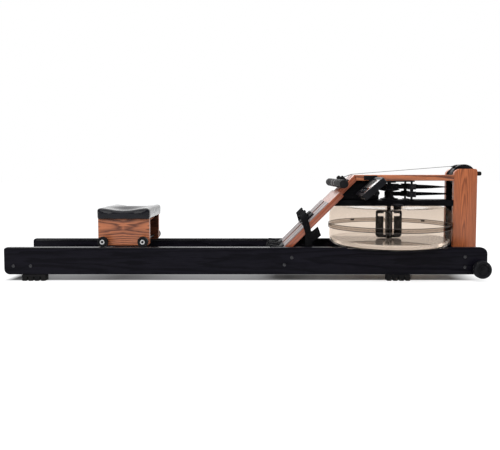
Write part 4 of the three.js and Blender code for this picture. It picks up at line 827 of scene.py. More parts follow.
# Paddle, bearings, drum and guide spools
print("drive")
paddle = {
    "x": 0.6455, "low": 0.1673, "top": 0.2993, "reach": 0.06, "thick": 0.004, "corner": 0.018,
    "window": (0.0105, 0.0240, 0.014), "slit": (0.050, 0.266, 0.2785),
}
drive = {
    "spoolX": paddle["x"] + 0.088, "spoolY": 0.052, "spool": 0.0195, "drum": 0.042, "smallDrum": 0.019,
    "upperBand": 0.402, "lowerBand": 0.368,
    "top": (0.9722, 0, 0.448), "topRadius": 0.048, "topLip": 0.051,
    "recoil": (0.9842, 0, 0.3497), "recoilRadius": 0.017, "recoilLip": 0.021,
}
paddlePlace = (paddle["x"], 0, 0)


# One blade, drawn on a block: round corners, two windows beside the shaft, a slit over them; the slit stands in
# for a highlight that crosses the blades, letting the white room show through
def makeBlade(name):
    low, top = paddle["low"], paddle["top"]
    blade = addBar(name, -paddle["reach"], paddle["reach"], 0, paddle["thick"] / 2, low, top)
    roundEdges(blade, "Y", paddle["corner"], segments=8)
    inner, outer, margin = paddle["window"]
    for side, _, _ in sides:
        near, far = sorted((side * inner, side * outer))
        window = addBar("window", near, far, 0, 0.01, low + margin, top - margin)
        subtract(blade, roundEdges(window, "Y", 0.004))
    across, start, end = paddle["slit"]
    slit = addBar("slit", -across, across, 0, 0.01, start, end)
    subtract(blade, roundEdges(slit, "Y", 0.003))
    return softenEdges(blade, 0.0008)


firstBlade = makeBlade("bladeAlong")
secondBlade = settle(copyPiece(firstBlade, "bladeAcross"), turn=(0, 0, quarter))
shaft = turnPiece("paddleShaft", points(
    0, 162.3, 7.2, 162.3, 8.8, 163.9, 8.8, 167.3, 9.8, 167.3, 10.2, 167.7, 10.2, 298.9, 9.8, 299.3, 8.9, 299.3,
    8.9, 426.2, 8.3, 426.9, 0, 426.9,
), 48)
paddlePiece = settle(joinPieces("paddleBlades", [firstBlade, secondBlade, smoothShade(shaft)]), paddlePlace)
finish(paddlePiece, "paddleGrey", "black_plastic", "paddle", "paddle")

dressTurned("lowerBearing", points(
    9.3, 342.3, 39.2, 342.3, 40, 343.1, 40, 347.3, 39, 348.3, 29.5, 348.3, 28, 349.3, 27.8, 350.2, 27.2, 350.8,
    9.8, 350.8, 9.3, 350.3, 9.3, 342.3,
), 64, paddlePlace, "Z", 35, "powderSteel", "black_steel", "frame", "lower_bearing")
dressTurned("driveDrum", points(
    9.3, 351.5, 22.2, 351.5, 23, 352.3, 23, 354.9, 22.2, 355.5, 19.4, 355.5, 19, 355.9, 19, 380.3, 45.5, 385.6,
    46, 386.2, 46, 388.9, 45.4, 389.5, 42.4, 389.5, 42, 389.9, 42, 412.1, 42.4, 412.5, 45.4, 412.5, 46, 413,
    46, 413.9, 45.4, 414.5, 34, 414.5, 32.5, 413.2, 16.2, 413.2, 15, 414.5, 9.3, 414.5, 9.3, 351.5,
), 72, paddlePlace, "Z", 35, "blackPlastic", "black_plastic", "drum", "drive_drum")
spoolProfile = points(
    5.3, 355.5, 21.2, 355.5, 22, 356.1, 22, 357, 21.3, 357.5, 19.6, 357.5, 19.3, 358, 19.3, 379.8, 18.8, 380.5,
    7.6, 380.8, 7.3, 381.5, 7.3, 388.8, 7.6, 389.5, 18.8, 389.7, 19.3, 390.2, 19.3, 412, 19.6, 412.5, 21.3, 412.5,
    22, 413, 22, 413.9, 21.2, 414.5, 5.3, 414.5, 5.3, 355.5,
)
for side, word, title in sides:
    dressTurned(
        f"guideSpool{title}", spoolProfile, 48, (drive["spoolX"], side * drive["spoolY"], 0), "Z", 35,
        "blackPlastic", "black_plastic", f"guide_spool_{word}", f"guide_spool_{word}",
    )
dressNode("drive_bracket", "driveBracket", 0.0006, 2, "powderSteel", "black_steel")


# Spine and tower
print("spine and tower")
dressNode("top_deck", "topDeck", 0.0022, 3, "oxbloodAlong", "oxblood")
dressNode("lower_deck", "lowerDeck", 0.0016, 2, "blackDeep", "rail")
dressNode("deck_web", "deckWeb", 0.0022, 3, "blackDeep", "rail")
for _, word, title in sides:
    post = dressNode(f"upright_{word}", f"upright{title}", 0.0026, 3, "oxbloodUp", "oxblood", angle=40)
    # the faces that look at each other get painted shade: the deep black
    paintFaces(post, "blackDeep", lambda at, normal: abs(at.y) < 0.0405 and abs(normal.y) > 0.9)
bumper = {"x": 1.0232, "y": 0.051, "z": 0.461}
for side, word, title in sides:
    dressTurned(f"bumper{title}", points(
        0, 0.3, 9.2, 0.3, 9.5, 0.7, 9.5, 15.5, 8.8, 18.5, 6.8, 20.2, 4, 20.8, 0, 20.8,
    ), 40, (bumper["x"], side * bumper["y"], bumper["z"]), "X", 40, "footRubber", "rubber", "frame",
    f"bumper_{word}")


# A belt roller: two lips, a slightly crowned face and a steel pin through it
def rollerProfile(radius, lip):
    half = points(0, 54.7, 5.2, 54.7, 6, 53.9, 6, 28, 10.5, 28, 11.2, 27.2) + [
        (lip * 0.62, 0.0268), (lip * 0.66, 0.0276), (lip - 0.0009, 0.028), (lip, 0.0271), (lip, 0.025),
        (lip - 0.0008, 0.0241), (radius + 0.0004, 0.0238), (radius - 0.0004, 0.0232), (radius, 0.012),
    ]
    return half + [(r, -y) for r, y in reversed(half)]


for word in ("top", "recoil"):
    profile, node = rollerProfile(drive[f"{word}Radius"], drive[f"{word}Lip"]), f"{word}_roller"
    dressTurned(f"{word}Roller", profile, 72, drive[word], "Y", 35, "blackPlastic", "black_plastic", node, node)
dressNode("roller_guard", "rollerGuard", 0.0007, 2, "blackPlastic", "black_plastic", angle=30)


# Foot end
print("foot end")
plate = {
    "low": -0.478, "high": -0.168, "base": 0.0133, "top": 0.0173, "inner": 0.022, "outer": 0.1235,
    "middle": 0.07275, "groove": 0.006, "depth": 0.002, "slots": 9, "firstSlot": 0.03, "slotPitch": 0.028,
    "slotHalf": (0.004, 0.0028), "slotCut": (0.0140, 0.018), "slotRound": 0.0024,
}
dressNode("footboard", "footboardPlank", 0.0022, 3, "oxbloodSlope", "oxblood")


def inGroove(y, margin=0.0):
    return abs(abs(y) - plate["middle"]) < plate["groove"] - margin


def lowInGroove(at, normal):
    height = (at.z - mitre.z - at.x + mitre.x) * slopeCos
    return inGroove(at.y, 0.0002) and height < plate["top"] - 0.001


for side, word, title in sides:
    near, far = sorted((side * plate["inner"], side * plate["outer"]))
    low, high = (plate["low"], near, plate["base"]), (plate["high"], far, plate["top"])
    footPlate = addBlock(f"footPlate{title}", low, high)
    for edge in (-plate["groove"], plate["groove"]):
        choose(footPlate)
        bpy.ops.mesh.bisect(plane_co=(0, side * (plate["middle"] + edge), 0), plane_no=(0, 1, 0))
    choose(footPlate, "FACE", lambda face: face.normal.z > 0.9 and inGroove(face.calc_center_median().y))
    bpy.ops.mesh.extrude_region_move(TRANSFORM_OT_translate={"value": (0, 0, -plate["depth"])})
    leaveEdit()
    softenEdges(footPlate, 0.0006)
    slots = []
    half, across = plate["slotHalf"]
    for number in range(plate["slots"]):  # adjustment slots down the groove
        along = plate["low"] + plate["firstSlot"] + number * plate["slotPitch"]
        slot = addBar("slot", along - half, along + half, side * plate["middle"], across, *plate["slotCut"])
        slots.append(roundEdges(slot, "Z", plate["slotRound"], segments=3))
    subtract(footPlate, joinPieces("slots", slots))
    layOnSlope(footPlate)
    finish(smoothShade(footPlate), "greyPlate", "grey_plate", "frame", f"foot_plate_{word}")
    paintFaces(footPlate, "grooveGrey", lowInGroove)


heel = {
    "ribs": (-0.5112, -0.5072), "ribHalf": 0.0014, "ribPitch": 0.026, "ribLow": 0.0182, "ribTop": 0.0530,
    "pad": (-0.5010, -0.4400), "padHalf": 0.031, "padLow": 0.0236, "padTop": 0.0245, "round": 0.008,
    "ridges": 4, "firstRidge": -0.4930, "ridgePitch": 0.0135, "ridge": 0.004, "ridgeHalf": 0.026,
    "ridgeTop": 0.0256,
}


# A heel cup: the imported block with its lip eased, ribs behind it and ridges on the pad under the heel
def makeHeelCup(name, side, word):
    cup = easedNode(f"heel_rest_{word}", name, 0)
    cup.matrix_world = Matrix.Rotation(math.pi / 4, 4, "Y") @ Matrix.Translation(-mitre)
    settle(cup)
    choose(cup)
    bpy.ops.mesh.dissolve_limited(angle_limit=math.radians(2))
    leaveEdit()
    softenEdges(cup, 0.0016, 3, 28)
    middle = side * plate["middle"]
    ribs = []
    for number in (-1, 0, 1):
        y = middle + number * heel["ribPitch"]
        ribs.append(addBar(f"{name}Rib", *heel["ribs"], y, heel["ribHalf"], heel["ribLow"], heel["ribTop"]))
    pad = addBar(f"{name}Pad", *heel["pad"], middle, heel["padHalf"], heel["padLow"], heel["padTop"])
    softenEdges(roundEdges(pad, "Z", heel["round"]), 0.0004, 1)
    for number in range(heel["ridges"]):
        start, low = heel["firstRidge"] + number * heel["ridgePitch"], heel["padTop"] - 0.0002
        end = start + heel["ridge"]
        ribs.append(addBar(f"{name}Grip", start, end, middle, heel["ridgeHalf"], low, heel["ridgeTop"]))
    piece = joinPieces(name, [cup, pad, *(softenEdges(rib, 0.0006) for rib in ribs)])
    return smoothShade(layOnSlope(piece), 40)


for side, word, title in sides:
    cup = makeHeelCup(f"heelCup{title}", side, word)
    finish(cup, "blackPlastic", "black_plastic", f"heel_rest_{word}", f"heel_rest_{word}")


# Foot straps
print("foot straps")
footStrap = {
    "along": -0.281, "baseLow": 0.0176, "crest": 0.0573, "inner": 0.0235, "base": 0.0515, "buckle": 0.08225,
    "stand": 0.133, "width": 0.032, "thick": 0.0028, "edge": -0.013, "tailZ": 0.1222, "fall": 0.55,
    "baseEnds": (-0.316, -0.246), "baseHalf": 0.028, "baseThick": 0.0088, "baseRound": 0.006,
    "tail": points(266, 180, 278, 187.5, 292, 196, 311.5, 212.5), "tailWidth": 0.042,
    "arch": (
        (0.02, 0), (0.04, 0.4), (0.12, 0.72), (0.28, 0.94), (0.5, 1), (0.72, 0.94), (0.9, 0.7), (0.98, 0.35),
        (1, 0), (1, -0.75),
    ),
}
buckle = {
    "start": -0.3005, "end": -0.2615, "half": 0.0135, "low": -0.0045, "high": 0.0043, "slot": 0.0068,
    "rib": 0.0026, "rim": 0.0033, "slotHalf": 0.0027, "bar": 0.0042, "sunk": 0.0028, "round": 0.005,
    "ribStart": 0.0045, "ribHalf": 0.0005, "ribRise": 0.0004,
}

# Woven webbing: ribs across it and cords along it, on the band's own UV in millimetres
webbing, webbingShader = startMaterial("webbing", Roughness=0.85, Specular_IOR_Level=0.1)
weaveMap = addNode(webbing, "UVMap", uv_map="weave").outputs[0]
weaveSize = addNode(webbing, "Mapping", {"Vector": weaveMap}, Scale=(1000, 1000, 1)).outputs[0]
ribs, cords = (
    addNode(webbing, "TexWave", {"Vector": weaveSize}, bands_direction=direction, Scale=scale).outputs["Fac"]
    for direction, scale in (("X", 0.24), ("Y", 0.16))
)
weave = addMath(webbing, "MULTIPLY", ribs, cords)
paint(webbing, webbingShader, weave, (0.002, 0.002, 0.0025), (0.010, 0.010, 0.012), 0.1, 0.7)
addBump(webbing, webbingShader, weave, 0.5, 0.0004)


# A smooth curve through the places
def smoothRun(places, steps):
    run = []
    last = len(places) - 1
    for index in range(last):
        before, start = places[max(index - 1, 0)], places[index]
        end, after = places[index + 1], places[min(index + 2, last)]
        for step in range(steps):
            t = step / steps
            run.append(0.5 * (
                2 * start + (end - before) * t + (2 * before - 5 * start + 4 * end - after) * t * t
                + (3 * start - before - 3 * end + after) * t ** 3
            ))
    return run + [places[-1]]


def makeFootStrap(name, side):
    crest, stand, fall, edge, width, thick = (
        footStrap[key] for key in ("crest", "stand", "fall", "edge", "width", "thick")
    )
    middle, near = footStrap["baseLow"] + 0.0045, footStrap["inner"] + 0.003
    lengthways, level = onSlope(1, 0, 0) - onSlope(0, 0, 0), Vector((1, 0, 0))
    arch = [
        Vector((footStrap["along"], side * (near + (stand - near) * out), middle + (crest - middle) * up))
        for out, up in footStrap["arch"]
    ]
    stations = []
    for place in smoothRun(arch, 4):  # outside the buckle the webbing drops straight down
        past = max(abs(place.y) - footStrap["buckle"], 0) / (stand - footStrap["buckle"])
        along = place.x + (place.z - crest) * fall * min(past * 2, 1)
        stations.append((onSlope(along, place.y, place.z), lengthways))
    # below the plank's edge the webbing turns upright and hangs
    start = onSlope(footStrap["along"] + (edge - crest) * fall, side * stand, edge)
    for step in range(1, 15):
        share = step / 14
        swayX, swayY = 0.0016 * math.sin(share * 4), side * 0.0016 * math.sin(share * 5 + side)
        place = Vector((start.x + swayX, start.y + swayY, start.z - (start.z - footStrap["tailZ"]) * share))
        turn = min(share * 3.5, 1)
        stations.append((place, lengthways.lerp(level, turn * turn * (3 - 2 * turn))))
    hem = [(stations[-1][0] + Vector((0, side * 0.0018, height)), level) for height in (0.016, 0.0002)]
    hangs = [
        layBand(f"{name}Webbing", stations, width, thick, 0.0007),
        layBand(f"{name}Hem", hem, width * 0.985, 0.0026, 0.0005),
    ]
    if side < 0:  # the loose end sticks out in front of the strap
        tilt = Vector((0.355, 0, -0.935))
        end = [(Vector((x, side * (stand + 0.003), z)), tilt) for x, z in footStrap["tail"]]
        hangs.append(layBand(f"{name}Tail", end, footStrap["tailWidth"], thick, 0.0007))
    (start, end), half, low = footStrap["baseEnds"], footStrap["baseHalf"], footStrap["baseLow"]
    top = low + footStrap["baseThick"]
    base = addBar(f"{name}Base", start, end, side * footStrap["base"], half, low, top)
    roundEdges(base, "Z", footStrap["baseRound"])
    softenEdges(sinkFace(base, 0.004, (0, 0, -0.0012)), 0.0009)
    return joinPieces(name, hangs), layOnSlope(base)


# A ladder-lock buckle: a frame with two slots and a ribbed thumb bar
def makeBuckle(name, side):
    start, end, y = buckle["start"], buckle["end"], side * footStrap["buckle"]
    low, high = footStrap["crest"] + buckle["low"], footStrap["crest"] + buckle["high"]
    rim, across, bar = buckle["rim"], buckle["slotHalf"], buckle["bar"]
    ladder = addBar(name, start, end, y, buckle["half"], low, high - buckle["sunk"])
    roundEdges(ladder, "Z", buckle["round"])
    slots = [
        addBar("slot", start + rim, end - rim, y + offset, across, low + 0.0032, high + 0.01)
        for offset in (-buckle["slot"], buckle["slot"])
    ]
    subtract(ladder, joinPieces("slots", slots))
    first, half, rise = buckle["ribStart"], buckle["ribHalf"], buckle["ribRise"]
    bars = [softenEdges(addBar(f"{name}Bar", start, end, y, bar, high - bar, high), 0.0011)] + [
        addBar("thumbRib", start + first, end - first, y + offset, half, high - rise, high + rise)
        for offset in (-buckle["rib"], 0, buckle["rib"])
    ]
    return smoothShade(layOnSlope(joinPieces(name, [softenEdges(ladder, 0.0009), *bars])))


for side, word, title in sides:
    hangs, base = makeFootStrap(f"footStrap{title}", side)
    finish(hangs, "webbing", "webbing", "frame", f"foot_strap_{word}")
    finish(smoothShade(base), "blackPlastic", "webbing", "frame", f"foot_strap_{word}")
    finish(makeBuckle(f"buckle{title}", side), "blackPlastic", "webbing", "frame", f"foot_strap_{word}")


# Handle, its rest and the straps
print("handle and straps")
handle = {
    "x": 0.403, "z": 0.418, "half": 0.219, "bar": 0.013, "grip": 0.0185, "end": 0.2183, "slot": 0.0204,
    "band": 0.048, "ridge": 0.0006, "firstRidge": 0.006, "pitch": 0.0085, "bridge": (0.0135, 0.0172),
    "bridgeHalf": 0.0085,
}
handlePlace = (handle["x"], 0, handle["z"])
barEnds = ((0, -1), (handle["bar"], -1), (handle["bar"], 1), (0, 1))
barProfile = [(r, end * handle["half"]) for r, end in barEnds]
dressTurned("handleBar", barProfile, 64, handlePlace, "Y", 35, "brushedSteel", "steel", "handle", "handle_bar")
for side, word, title in sides:
    cap = points(0, 225, 12, 225, 15.2, 224, 17.6, 222, 18.4, 220, 18.4, 219.2, 0, 219.2, side=side)
    name = f"handleCap{title}"
    dressTurned(name, cap, 48, handlePlace, "Y", 40, "gripRubber", "rubber", "handle", "handle_bar")


# The rubber sleeve: shallow rings along it, open in the middle where the strap loops round the bar
def gripProfile(low, high):
    bore, grip, ridge = handle["bar"] + 0.0003, handle["grip"], handle["ridge"]
    outside = [(bore, low), (grip - 2 * ridge, low), (grip, low + 2 * ridge)]
    place = low + handle["firstRidge"]
    while place < high - handle["firstRidge"]:
        outside += [
            (grip, place), (grip - ridge, place + 0.0006), (grip - ridge, place + 0.0016), (grip, place + 0.0022),
        ]
        place += handle["pitch"]
    return outside + [(grip, high - 2 * ridge), (grip - 2 * ridge, high), (bore, high), (bore, low)]


for side, word, title in sides:
    sleeve = gripProfile(*sorted((side * handle["slot"], side * handle["end"])))
    grip = dressTurned(
        f"handleGrip{title}", sleeve, 48, handlePlace, "Y", 35, "gripRubber", "rubber", "handle", "handle_grip"
    )
    paintFaces(grip, "gripBand", lambda at, normal: abs(at.y) < handle["band"])
half = handle["bridgeHalf"]
bridge = settle(addBar("gripBridge", *handle["bridge"], 0, handle["slot"], -half, half), handlePlace)
finish(softenEdges(bridge, 0.001), "gripRubber", "rubber", "handle", "handle_grip")

# The rest: one plate across the plank with two rubber horns
rest = {
    "past": 0.0295, "half": 0.0605, "long": 0.015, "low": 0.0133, "top": 0.0171, "round": 0.006, "horn": 0.050,
}
along = (handle["x"] - mitre.x + handle["z"] - mitre.z) * slopeCos + rest["past"]
low, high = along - rest["long"], along + rest["long"]
restPlate = addBar("handleRest", low, high, 0, rest["half"], rest["low"], rest["top"])
horns = [softenEdges(roundEdges(restPlate, "Z", rest["round"]), 0.0008)]
for side, _, _ in sides:
    horn = turnPiece("horn", points(
        0, 16.5, 12.2, 16.5, 12, 18.2, 10.4, 20.5, 9.8, 24.5, 9.9, 40, 9.4, 45.2, 7.6, 48.2, 4.5, 49.3, 0, 49.3,
    ), 36, (along, side * rest["horn"], 0))
    horns.append(smoothShade(horn, 50))
finish(layOnSlope(joinPieces("handleRest", horns)), "footRubber", "rubber", "frame", "handle_rest")

strap = {"width": 0.020, "thick": 0.0016, "lift": 0.0013, "ease": 0.0003}
acrossY = Vector((0, 1, 0))
onEdge = Vector((0, 0, -1))


def arc(start, end, steps):
    angles = (start + (end - start) * k / steps for k in range(steps + 1))
    return [(math.cos(angle), math.sin(angle)) for angle in angles]


def roundRoller(centre, radius, start, end, steps):
    x, _, z = centre
    return [(Vector((x + radius * a, 0, z + radius * b)), acrossY) for a, b in arc(start, end, steps)]


def roundDrum(radius, z, start, end, steps):
    return [(Vector((paddle["x"] + radius * a, radius * b, z)), onEdge) for a, b in arc(start, end, steps)]


# Straight from start to end while the strap turns a quarter; the first part, before skip, is left out
def twistedRun(start, end, fromAcross, toAcross, skip, steps=24):
    skip /= (end - start).length
    return [
        (start.lerp(end, skip + (1 - skip) * k / steps), fromAcross * across + toAcross * up)
        for k, (across, up) in enumerate(arc(0, quarter, steps))
    ]


def dressBand(name, stations, node):
    band = layBand(name, stations, strap["width"], strap["thick"], strap["ease"])
    return finish(band, "webbing", "webbing", "frame", node)


# The angle at which a straight run leaves or reaches a roller that it touches
def touchAngle(start, end, radius, turn):
    along = Vector((end[0] - start[0], end[2] - start[2]))
    return math.atan2(along.y, along.x) + turn * math.asin(radius / along.length) + quarter


# Front run: round the handle's bar, over the mitre, along the deck and onto the top roller
loopRadius, rollerRadius = handle["bar"] + strap["lift"], drive["topRadius"] + strap["lift"]
corner = onSlope(0.013 * math.tan(math.pi / 8), 0, 0.013)
corner += Vector((-strap["lift"], 0, strap["lift"] + strap["thick"]))
leaving = touchAngle(handlePlace, corner, loopRadius, -1)
arriving = touchAngle(corner, drive["top"], rollerRadius, 1)
loop = roundRoller(handlePlace, loopRadius, leaving + math.pi, leaving, 24)
landing = roundRoller(drive["top"], rollerRadius, arriving, -quarter, 44)
loopEnd, deckEnd = loop[-1][0], landing[0][0]
rise = [loopEnd.lerp(corner, k / 6) for k in range(1, 6)]
bendIn, bendOut = corner.lerp(loopEnd, 0.05), corner.lerp(deckEnd, 0.02)
bend = [bendIn.lerp(corner, t).lerp(corner.lerp(bendOut, t), t) for t in (0, 0.25, 0.5, 0.75, 1)]
deckRun = [bendOut.lerp(deckEnd, k / 30) for k in range(1, 30)]
frontRun = loop + [(place, acrossY) for place in rise + bend + deckRun] + landing[:3]
frontBands = [layBand("driveStrapFront", frontRun, strap["width"], strap["thick"], strap["ease"])]
for along in (0.010, 0.022):  # the loop's end is stitched back onto the strap
    middle = loopEnd.lerp(corner, along / (corner - loopEnd).length) + Vector((-0.00099, 0, 0.00099))
    ends = [(middle + Vector((side * 0.0012, 0, side * 0.0011)), acrossY) for side, _, _ in sides]
    frontBands.append(layBand("stitch", ends, 0.017, 0.0006, 0))
frontStrap = joinPieces("driveStrapFront", frontBands)
frontStrap.data.materials.clear()
frontStrap.data.materials.append(webbing)
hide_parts("drive_strap")
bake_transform(frontStrap)

# Rear run: round the top roller, twisted onto its edge, past the near spool and round the drum
spoolPlace = Vector((drive["spoolX"], -(drive["spoolY"] - drive["spool"] - strap["lift"]), drive["upperBand"]))
rollerFoot = Vector(drive["top"]) - Vector((0, 0, rollerRadius))
twist = twistedRun(rollerFoot, spoolPlace, acrossY, onEdge, 0.051)
wrap = roundDrum(drive["drum"] + strap["lift"], drive["upperBand"], -quarter, -3 * quarter, 40)
dressBand("driveStrapRear", landing[2:] + twist + wrap, "drive_strap")

# Recoil: off the small drum, over the lower roller, down to the elastic cord and back under the tank
recoil = Vector(drive["recoil"])
small, over = drive["smallDrum"] + strap["lift"], drive["recoilRadius"] + strap["lift"]
cord = {"radius": 0.004, "turn": 0.0105, "top": 0.1497, "straight": 0.110, "end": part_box("recoil_cord")[0][0]}
cordX, cordZ = axle["x"] + cord["turn"], axle["z"] - cord["turn"]
leave, arrive = Vector((paddle["x"], small, drive["lowerBand"])), Vector((recoil.x, 0, drive["lowerBand"]))
recoilRun = roundDrum(small, drive["lowerBand"], 3 * quarter, quarter, 30)
recoilRun += twistedRun(leave, arrive, onEdge, acrossY, 0.0032)[:-1] + roundRoller(recoil, over, quarter, 0, 16)
down, foot = recoil + Vector((over, 0, 0)), Vector((cordX, 0, 0.150))
dressBand("recoilStrap", recoilRun + [(down.lerp(foot, k / 6), acrossY) for k in range(1, 7)], "recoil_strap")

cordPath = [Vector((cordX, 0, cord["top"])), Vector((cordX, 0, cord["straight"]))]
cordPath += [place for place, _ in roundRoller((axle["x"], 0, axle["z"]), cord["turn"], 0, -quarter, 12)]
underAxle, cordEnd = cordPath[-1], Vector((cord["end"], 0, cordZ))
cordPath += [underAxle.lerp(cordEnd, k / 10) for k in range(1, 11)]
clearSelection()
bpy.ops.curve.primitive_bezier_curve_add()
cordPiece = bpy.context.object
cordPiece.name = "recoilCord"
curve = cordPiece.data
curve.splines.clear()
curve.dimensions = "3D"
curve.bevel_depth = cord["radius"]
curve.bevel_resolution = 5
curve.use_fill_caps = True
spline = curve.splines.new("POLY")
spline.points.add(len(cordPath) - 1)
for point, place in zip(spline.points, cordPath):
    point.co = (*place, 1)
takeUp(cordPiece)
bpy.ops.object.convert(target="MESH")
finish(smoothShade(bpy.context.object, 60), "cordCover", "webbing", "frame", "recoil_cord")


# Seat
print("seat")
seat = {
    "axleZ": 0.1668, "axles": {"rear": -0.626, "front": -0.453}, "shrink": 0.998, "voxel": 0.0034,
    "pressure": 4.0, "frames": 20, "cap": 0.0015, "ridge": 0.0020, "ridgeWidth": 0.048, "ridgeRise": 0.006,
    "ridgeEnd": 0.03,
}
for _, word, title in sides:
    sidePlate = dressNode(
        f"seat_plate_{word}", f"seatPlate{title}", 0.002, 3, "oxbloodPlate", "oxblood", "seat", 40
    )
    # the faces that look at each other get painted shade: a much darker wood
    paintFaces(sidePlate, "oxbloodPaintedShade", lambda at, normal: normal.y * at.y < -0.1)
dressNode("seat_board", "seatBoard", 0.002, 3, "oxbloodAlong", "oxblood", "seat")

vinyl, vinylShader = startMaterial(
    "vinyl", Coat_Weight=1.0, Coat_Roughness=0.12, Coat_IOR=1.22, Specular_IOR_Level=0.1
)
vinylPlace = patternPlace(vinyl, (0.0016, 0.0016, 0.0016))
pebble = addNode(vinyl, "TexVoronoi", {"Vector": vinylPlace}, feature="DISTANCE_TO_EDGE").outputs["Distance"]
crease = addNoise(vinyl, patternPlace(vinyl, (0.045, 0.03, 0.03)), 4, 0.55, 0.4)
paint(vinyl, vinylShader, crease, (0.0045, 0.0045, 0.0075), (0.009, 0.009, 0.0135), 0.35, 0.65, (0.2, 0.32))
addBump(vinyl, vinylShader, addRange(vinyl, pebble, 0.0, 1.0, 0.0, 0.35), 0.08, 0.00015)


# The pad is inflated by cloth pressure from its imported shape, and each point may only swell a little
def inflate(pad):
    print("inflating the seat pad")
    before = [vert.co.copy() for vert in pad.data.vertices]
    takeUp(pad)
    cloth = pad.modifiers.new("cloth", "CLOTH")
    cloth.settings.use_pressure = True
    cloth.settings.uniform_pressure_force = seat["pressure"]
    cloth.settings.effector_weights.gravity = 0
    cloth.settings.quality = 5
    for number in range(seat["frames"]):
        scene.frame_set(number + 1)
    bpy.ops.object.modifier_apply(modifier=cloth.name)
    scene.frame_set(1)
    for vert, start in zip(pad.data.vertices, before):
        shift = vert.co - start
        if shift.length > seat["cap"]:
            vert.co = start + shift.normalized() * seat["cap"]


pad = easedNode("seat_pad", "seatPad", 0)
padLow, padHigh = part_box("seat_pad")
padCentre = Vector([(a + b) / 2 for a, b in zip(padLow, padHigh)])
for vert in pad.data.vertices:
    vert.co = padCentre + (vert.co - padCentre) * seat["shrink"]
    vert.co.z -= (padCentre.z - padLow[2]) * (1 - seat["shrink"])
applyModifier(pad, "REMESH", mode="VOXEL", voxel_size=seat["voxel"], use_smooth_shade=True)
applyModifier(pad, "SMOOTH", factor=0.5, iterations=3)
inflate(pad)
for vert in pad.data.vertices:  # between the two hollows the top rises to a soft ridge
    if vert.co.z > padCentre.z:
        share = min((vert.co.z - padCentre.z) / seat["ridgeRise"], 1)
        share *= math.exp(-(vert.co.y / seat["ridgeWidth"]) ** 2)
        share *= max(min(padHigh[0] - vert.co.x, vert.co.x - padLow[0], seat["ridgeEnd"]) / seat["ridgeEnd"], 0)
        vert.co.z += max(padHigh[2] + seat["ridge"] - vert.co.z, 0) * share
applyModifier(pad, "SMOOTH", factor=0.5, iterations=4)
for vert in pad.data.vertices:  # it lies flat on the board and the side plates
    for axis in (0, 1):
        vert.co[axis] = min(max(vert.co[axis], padLow[axis]), padHigh[axis])
    vert.co.z = max(vert.co.z, padLow[2])
applyModifier(pad, "SUBSURF", levels=1, render_levels=1)
finish(smoothShade(pad, 60), "vinyl", "vinyl", "seat", "seat_pad")

tyre = (
    9.9, 144.2, 16.5, 144.2, 17.2, 144.6, 20.5, 144.6, 21.9, 145.3, 22.5, 147, 22.5, 161, 21.9, 162.7,
    20.5, 163.4, 17.2, 163.4, 16.5, 163, 15, 161.2, 11.5, 161, 10.6, 162.2, 9.9, 162.2, 9.9, 144.2,
)
hub = (
    4.8, 144.1, 9.7, 144.1, 9.7, 164, 10.1, 164.4, 10.1, 164.8, 9.7, 165, 5.6, 165, 5, 164.5, 4.8, 163.7,
    4.8, 144.1,
)
halfAxle = points(
    0, -165.8, 3.4, -165.8, 4, -165.2, 4, -143.7, 6.6, -143.7, 7.2, -143.1, 7.2, -125.7, 6.6, -125.3, 4, -125.3,
)
for place, x in seat["axles"].items():
    at, body = (x, 0, seat["axleZ"]), f"seat_{place}_axle"
    for side, word, title in sides:
        for kind, numbers, material in (("Tyre", tyre, "wheelRubber"), ("Hub", hub, "hubSilver")):
            name, profile = f"seat{kind}{place.title()}{title}", points(*numbers, side=side)
            dressTurned(name, profile, 56, at, "Y", 35, material, "rubber", body, f"seat_wheel_{place}_{word}")
    profile = halfAxle + [(r, -y) for r, y in reversed(halfAxle)]
    name, node = f"seatAxle{place.title()}", f"seat_axle_{place}"
    dressTurned(name, profile, 36, at, "Y", 35, "powderSteel", "steel", body, node)


# Monitor
print("monitor")
monitor = {
    "centre": (0.530, -0.150, 0.3977), "tilt": -41.0, "face": 0.0135, "length": 0.0443, "width": 0.0678,
    "screen": (-0.0105, 0.0370, -0.056, 0.056), "margin": 0.007,
    "rows": ((0.0265, 0.0140, 4), (0.0090, 0.0090, 5), (-0.0045, 0.0050, 6)),
    "stroke": 0.0011, "rules": (0.0172, 0.0014), "keyX": -0.0290, "keyPitch": 0.0225,
    "keyHalf": (0.0058, 0.0088), "bolts": (0.5267, 0.5667), "boltY": -0.0663, "boltZ": 0.442,
}
face = monitor["face"]
xLow, xHigh, yLow, yHigh = monitor["screen"]


def dressOnMonitor(piece, material):
    turn = Matrix.Rotation(math.radians(monitor["tilt"]), 4, "Y")
    piece.matrix_world = Matrix.Translation(Vector(monitor["centre"])) @ turn
    return finish(settle(piece), material, "screen", "monitor", "monitor_glass")


dressNode("monitor_case", "monitorCase", 0.0016, 3, "blackPlastic", "black_plastic", "monitor", 30)
length, width = monitor["length"], monitor["width"]
panel = addBar("monitorPanel", -length, length, 0, width, face - 0.0024, face - 0.0006)
sinkFace(roundEdges(panel, "Z", 0.010), 0.0035, (0, 0, 0.0005))
dressOnMonitor(softenEdges(panel, 0.0003), "panel")

# the screen: its light colour is partly its own and partly painted reflection of the bright room
screen = addBlock("monitorScreen", (xLow, yLow, face - 0.0008), (xHigh, yHigh, face - 0.00005))
dressOnMonitor(softenEdges(roundEdges(screen, "Z", 0.004), 0.0002), "lcd")

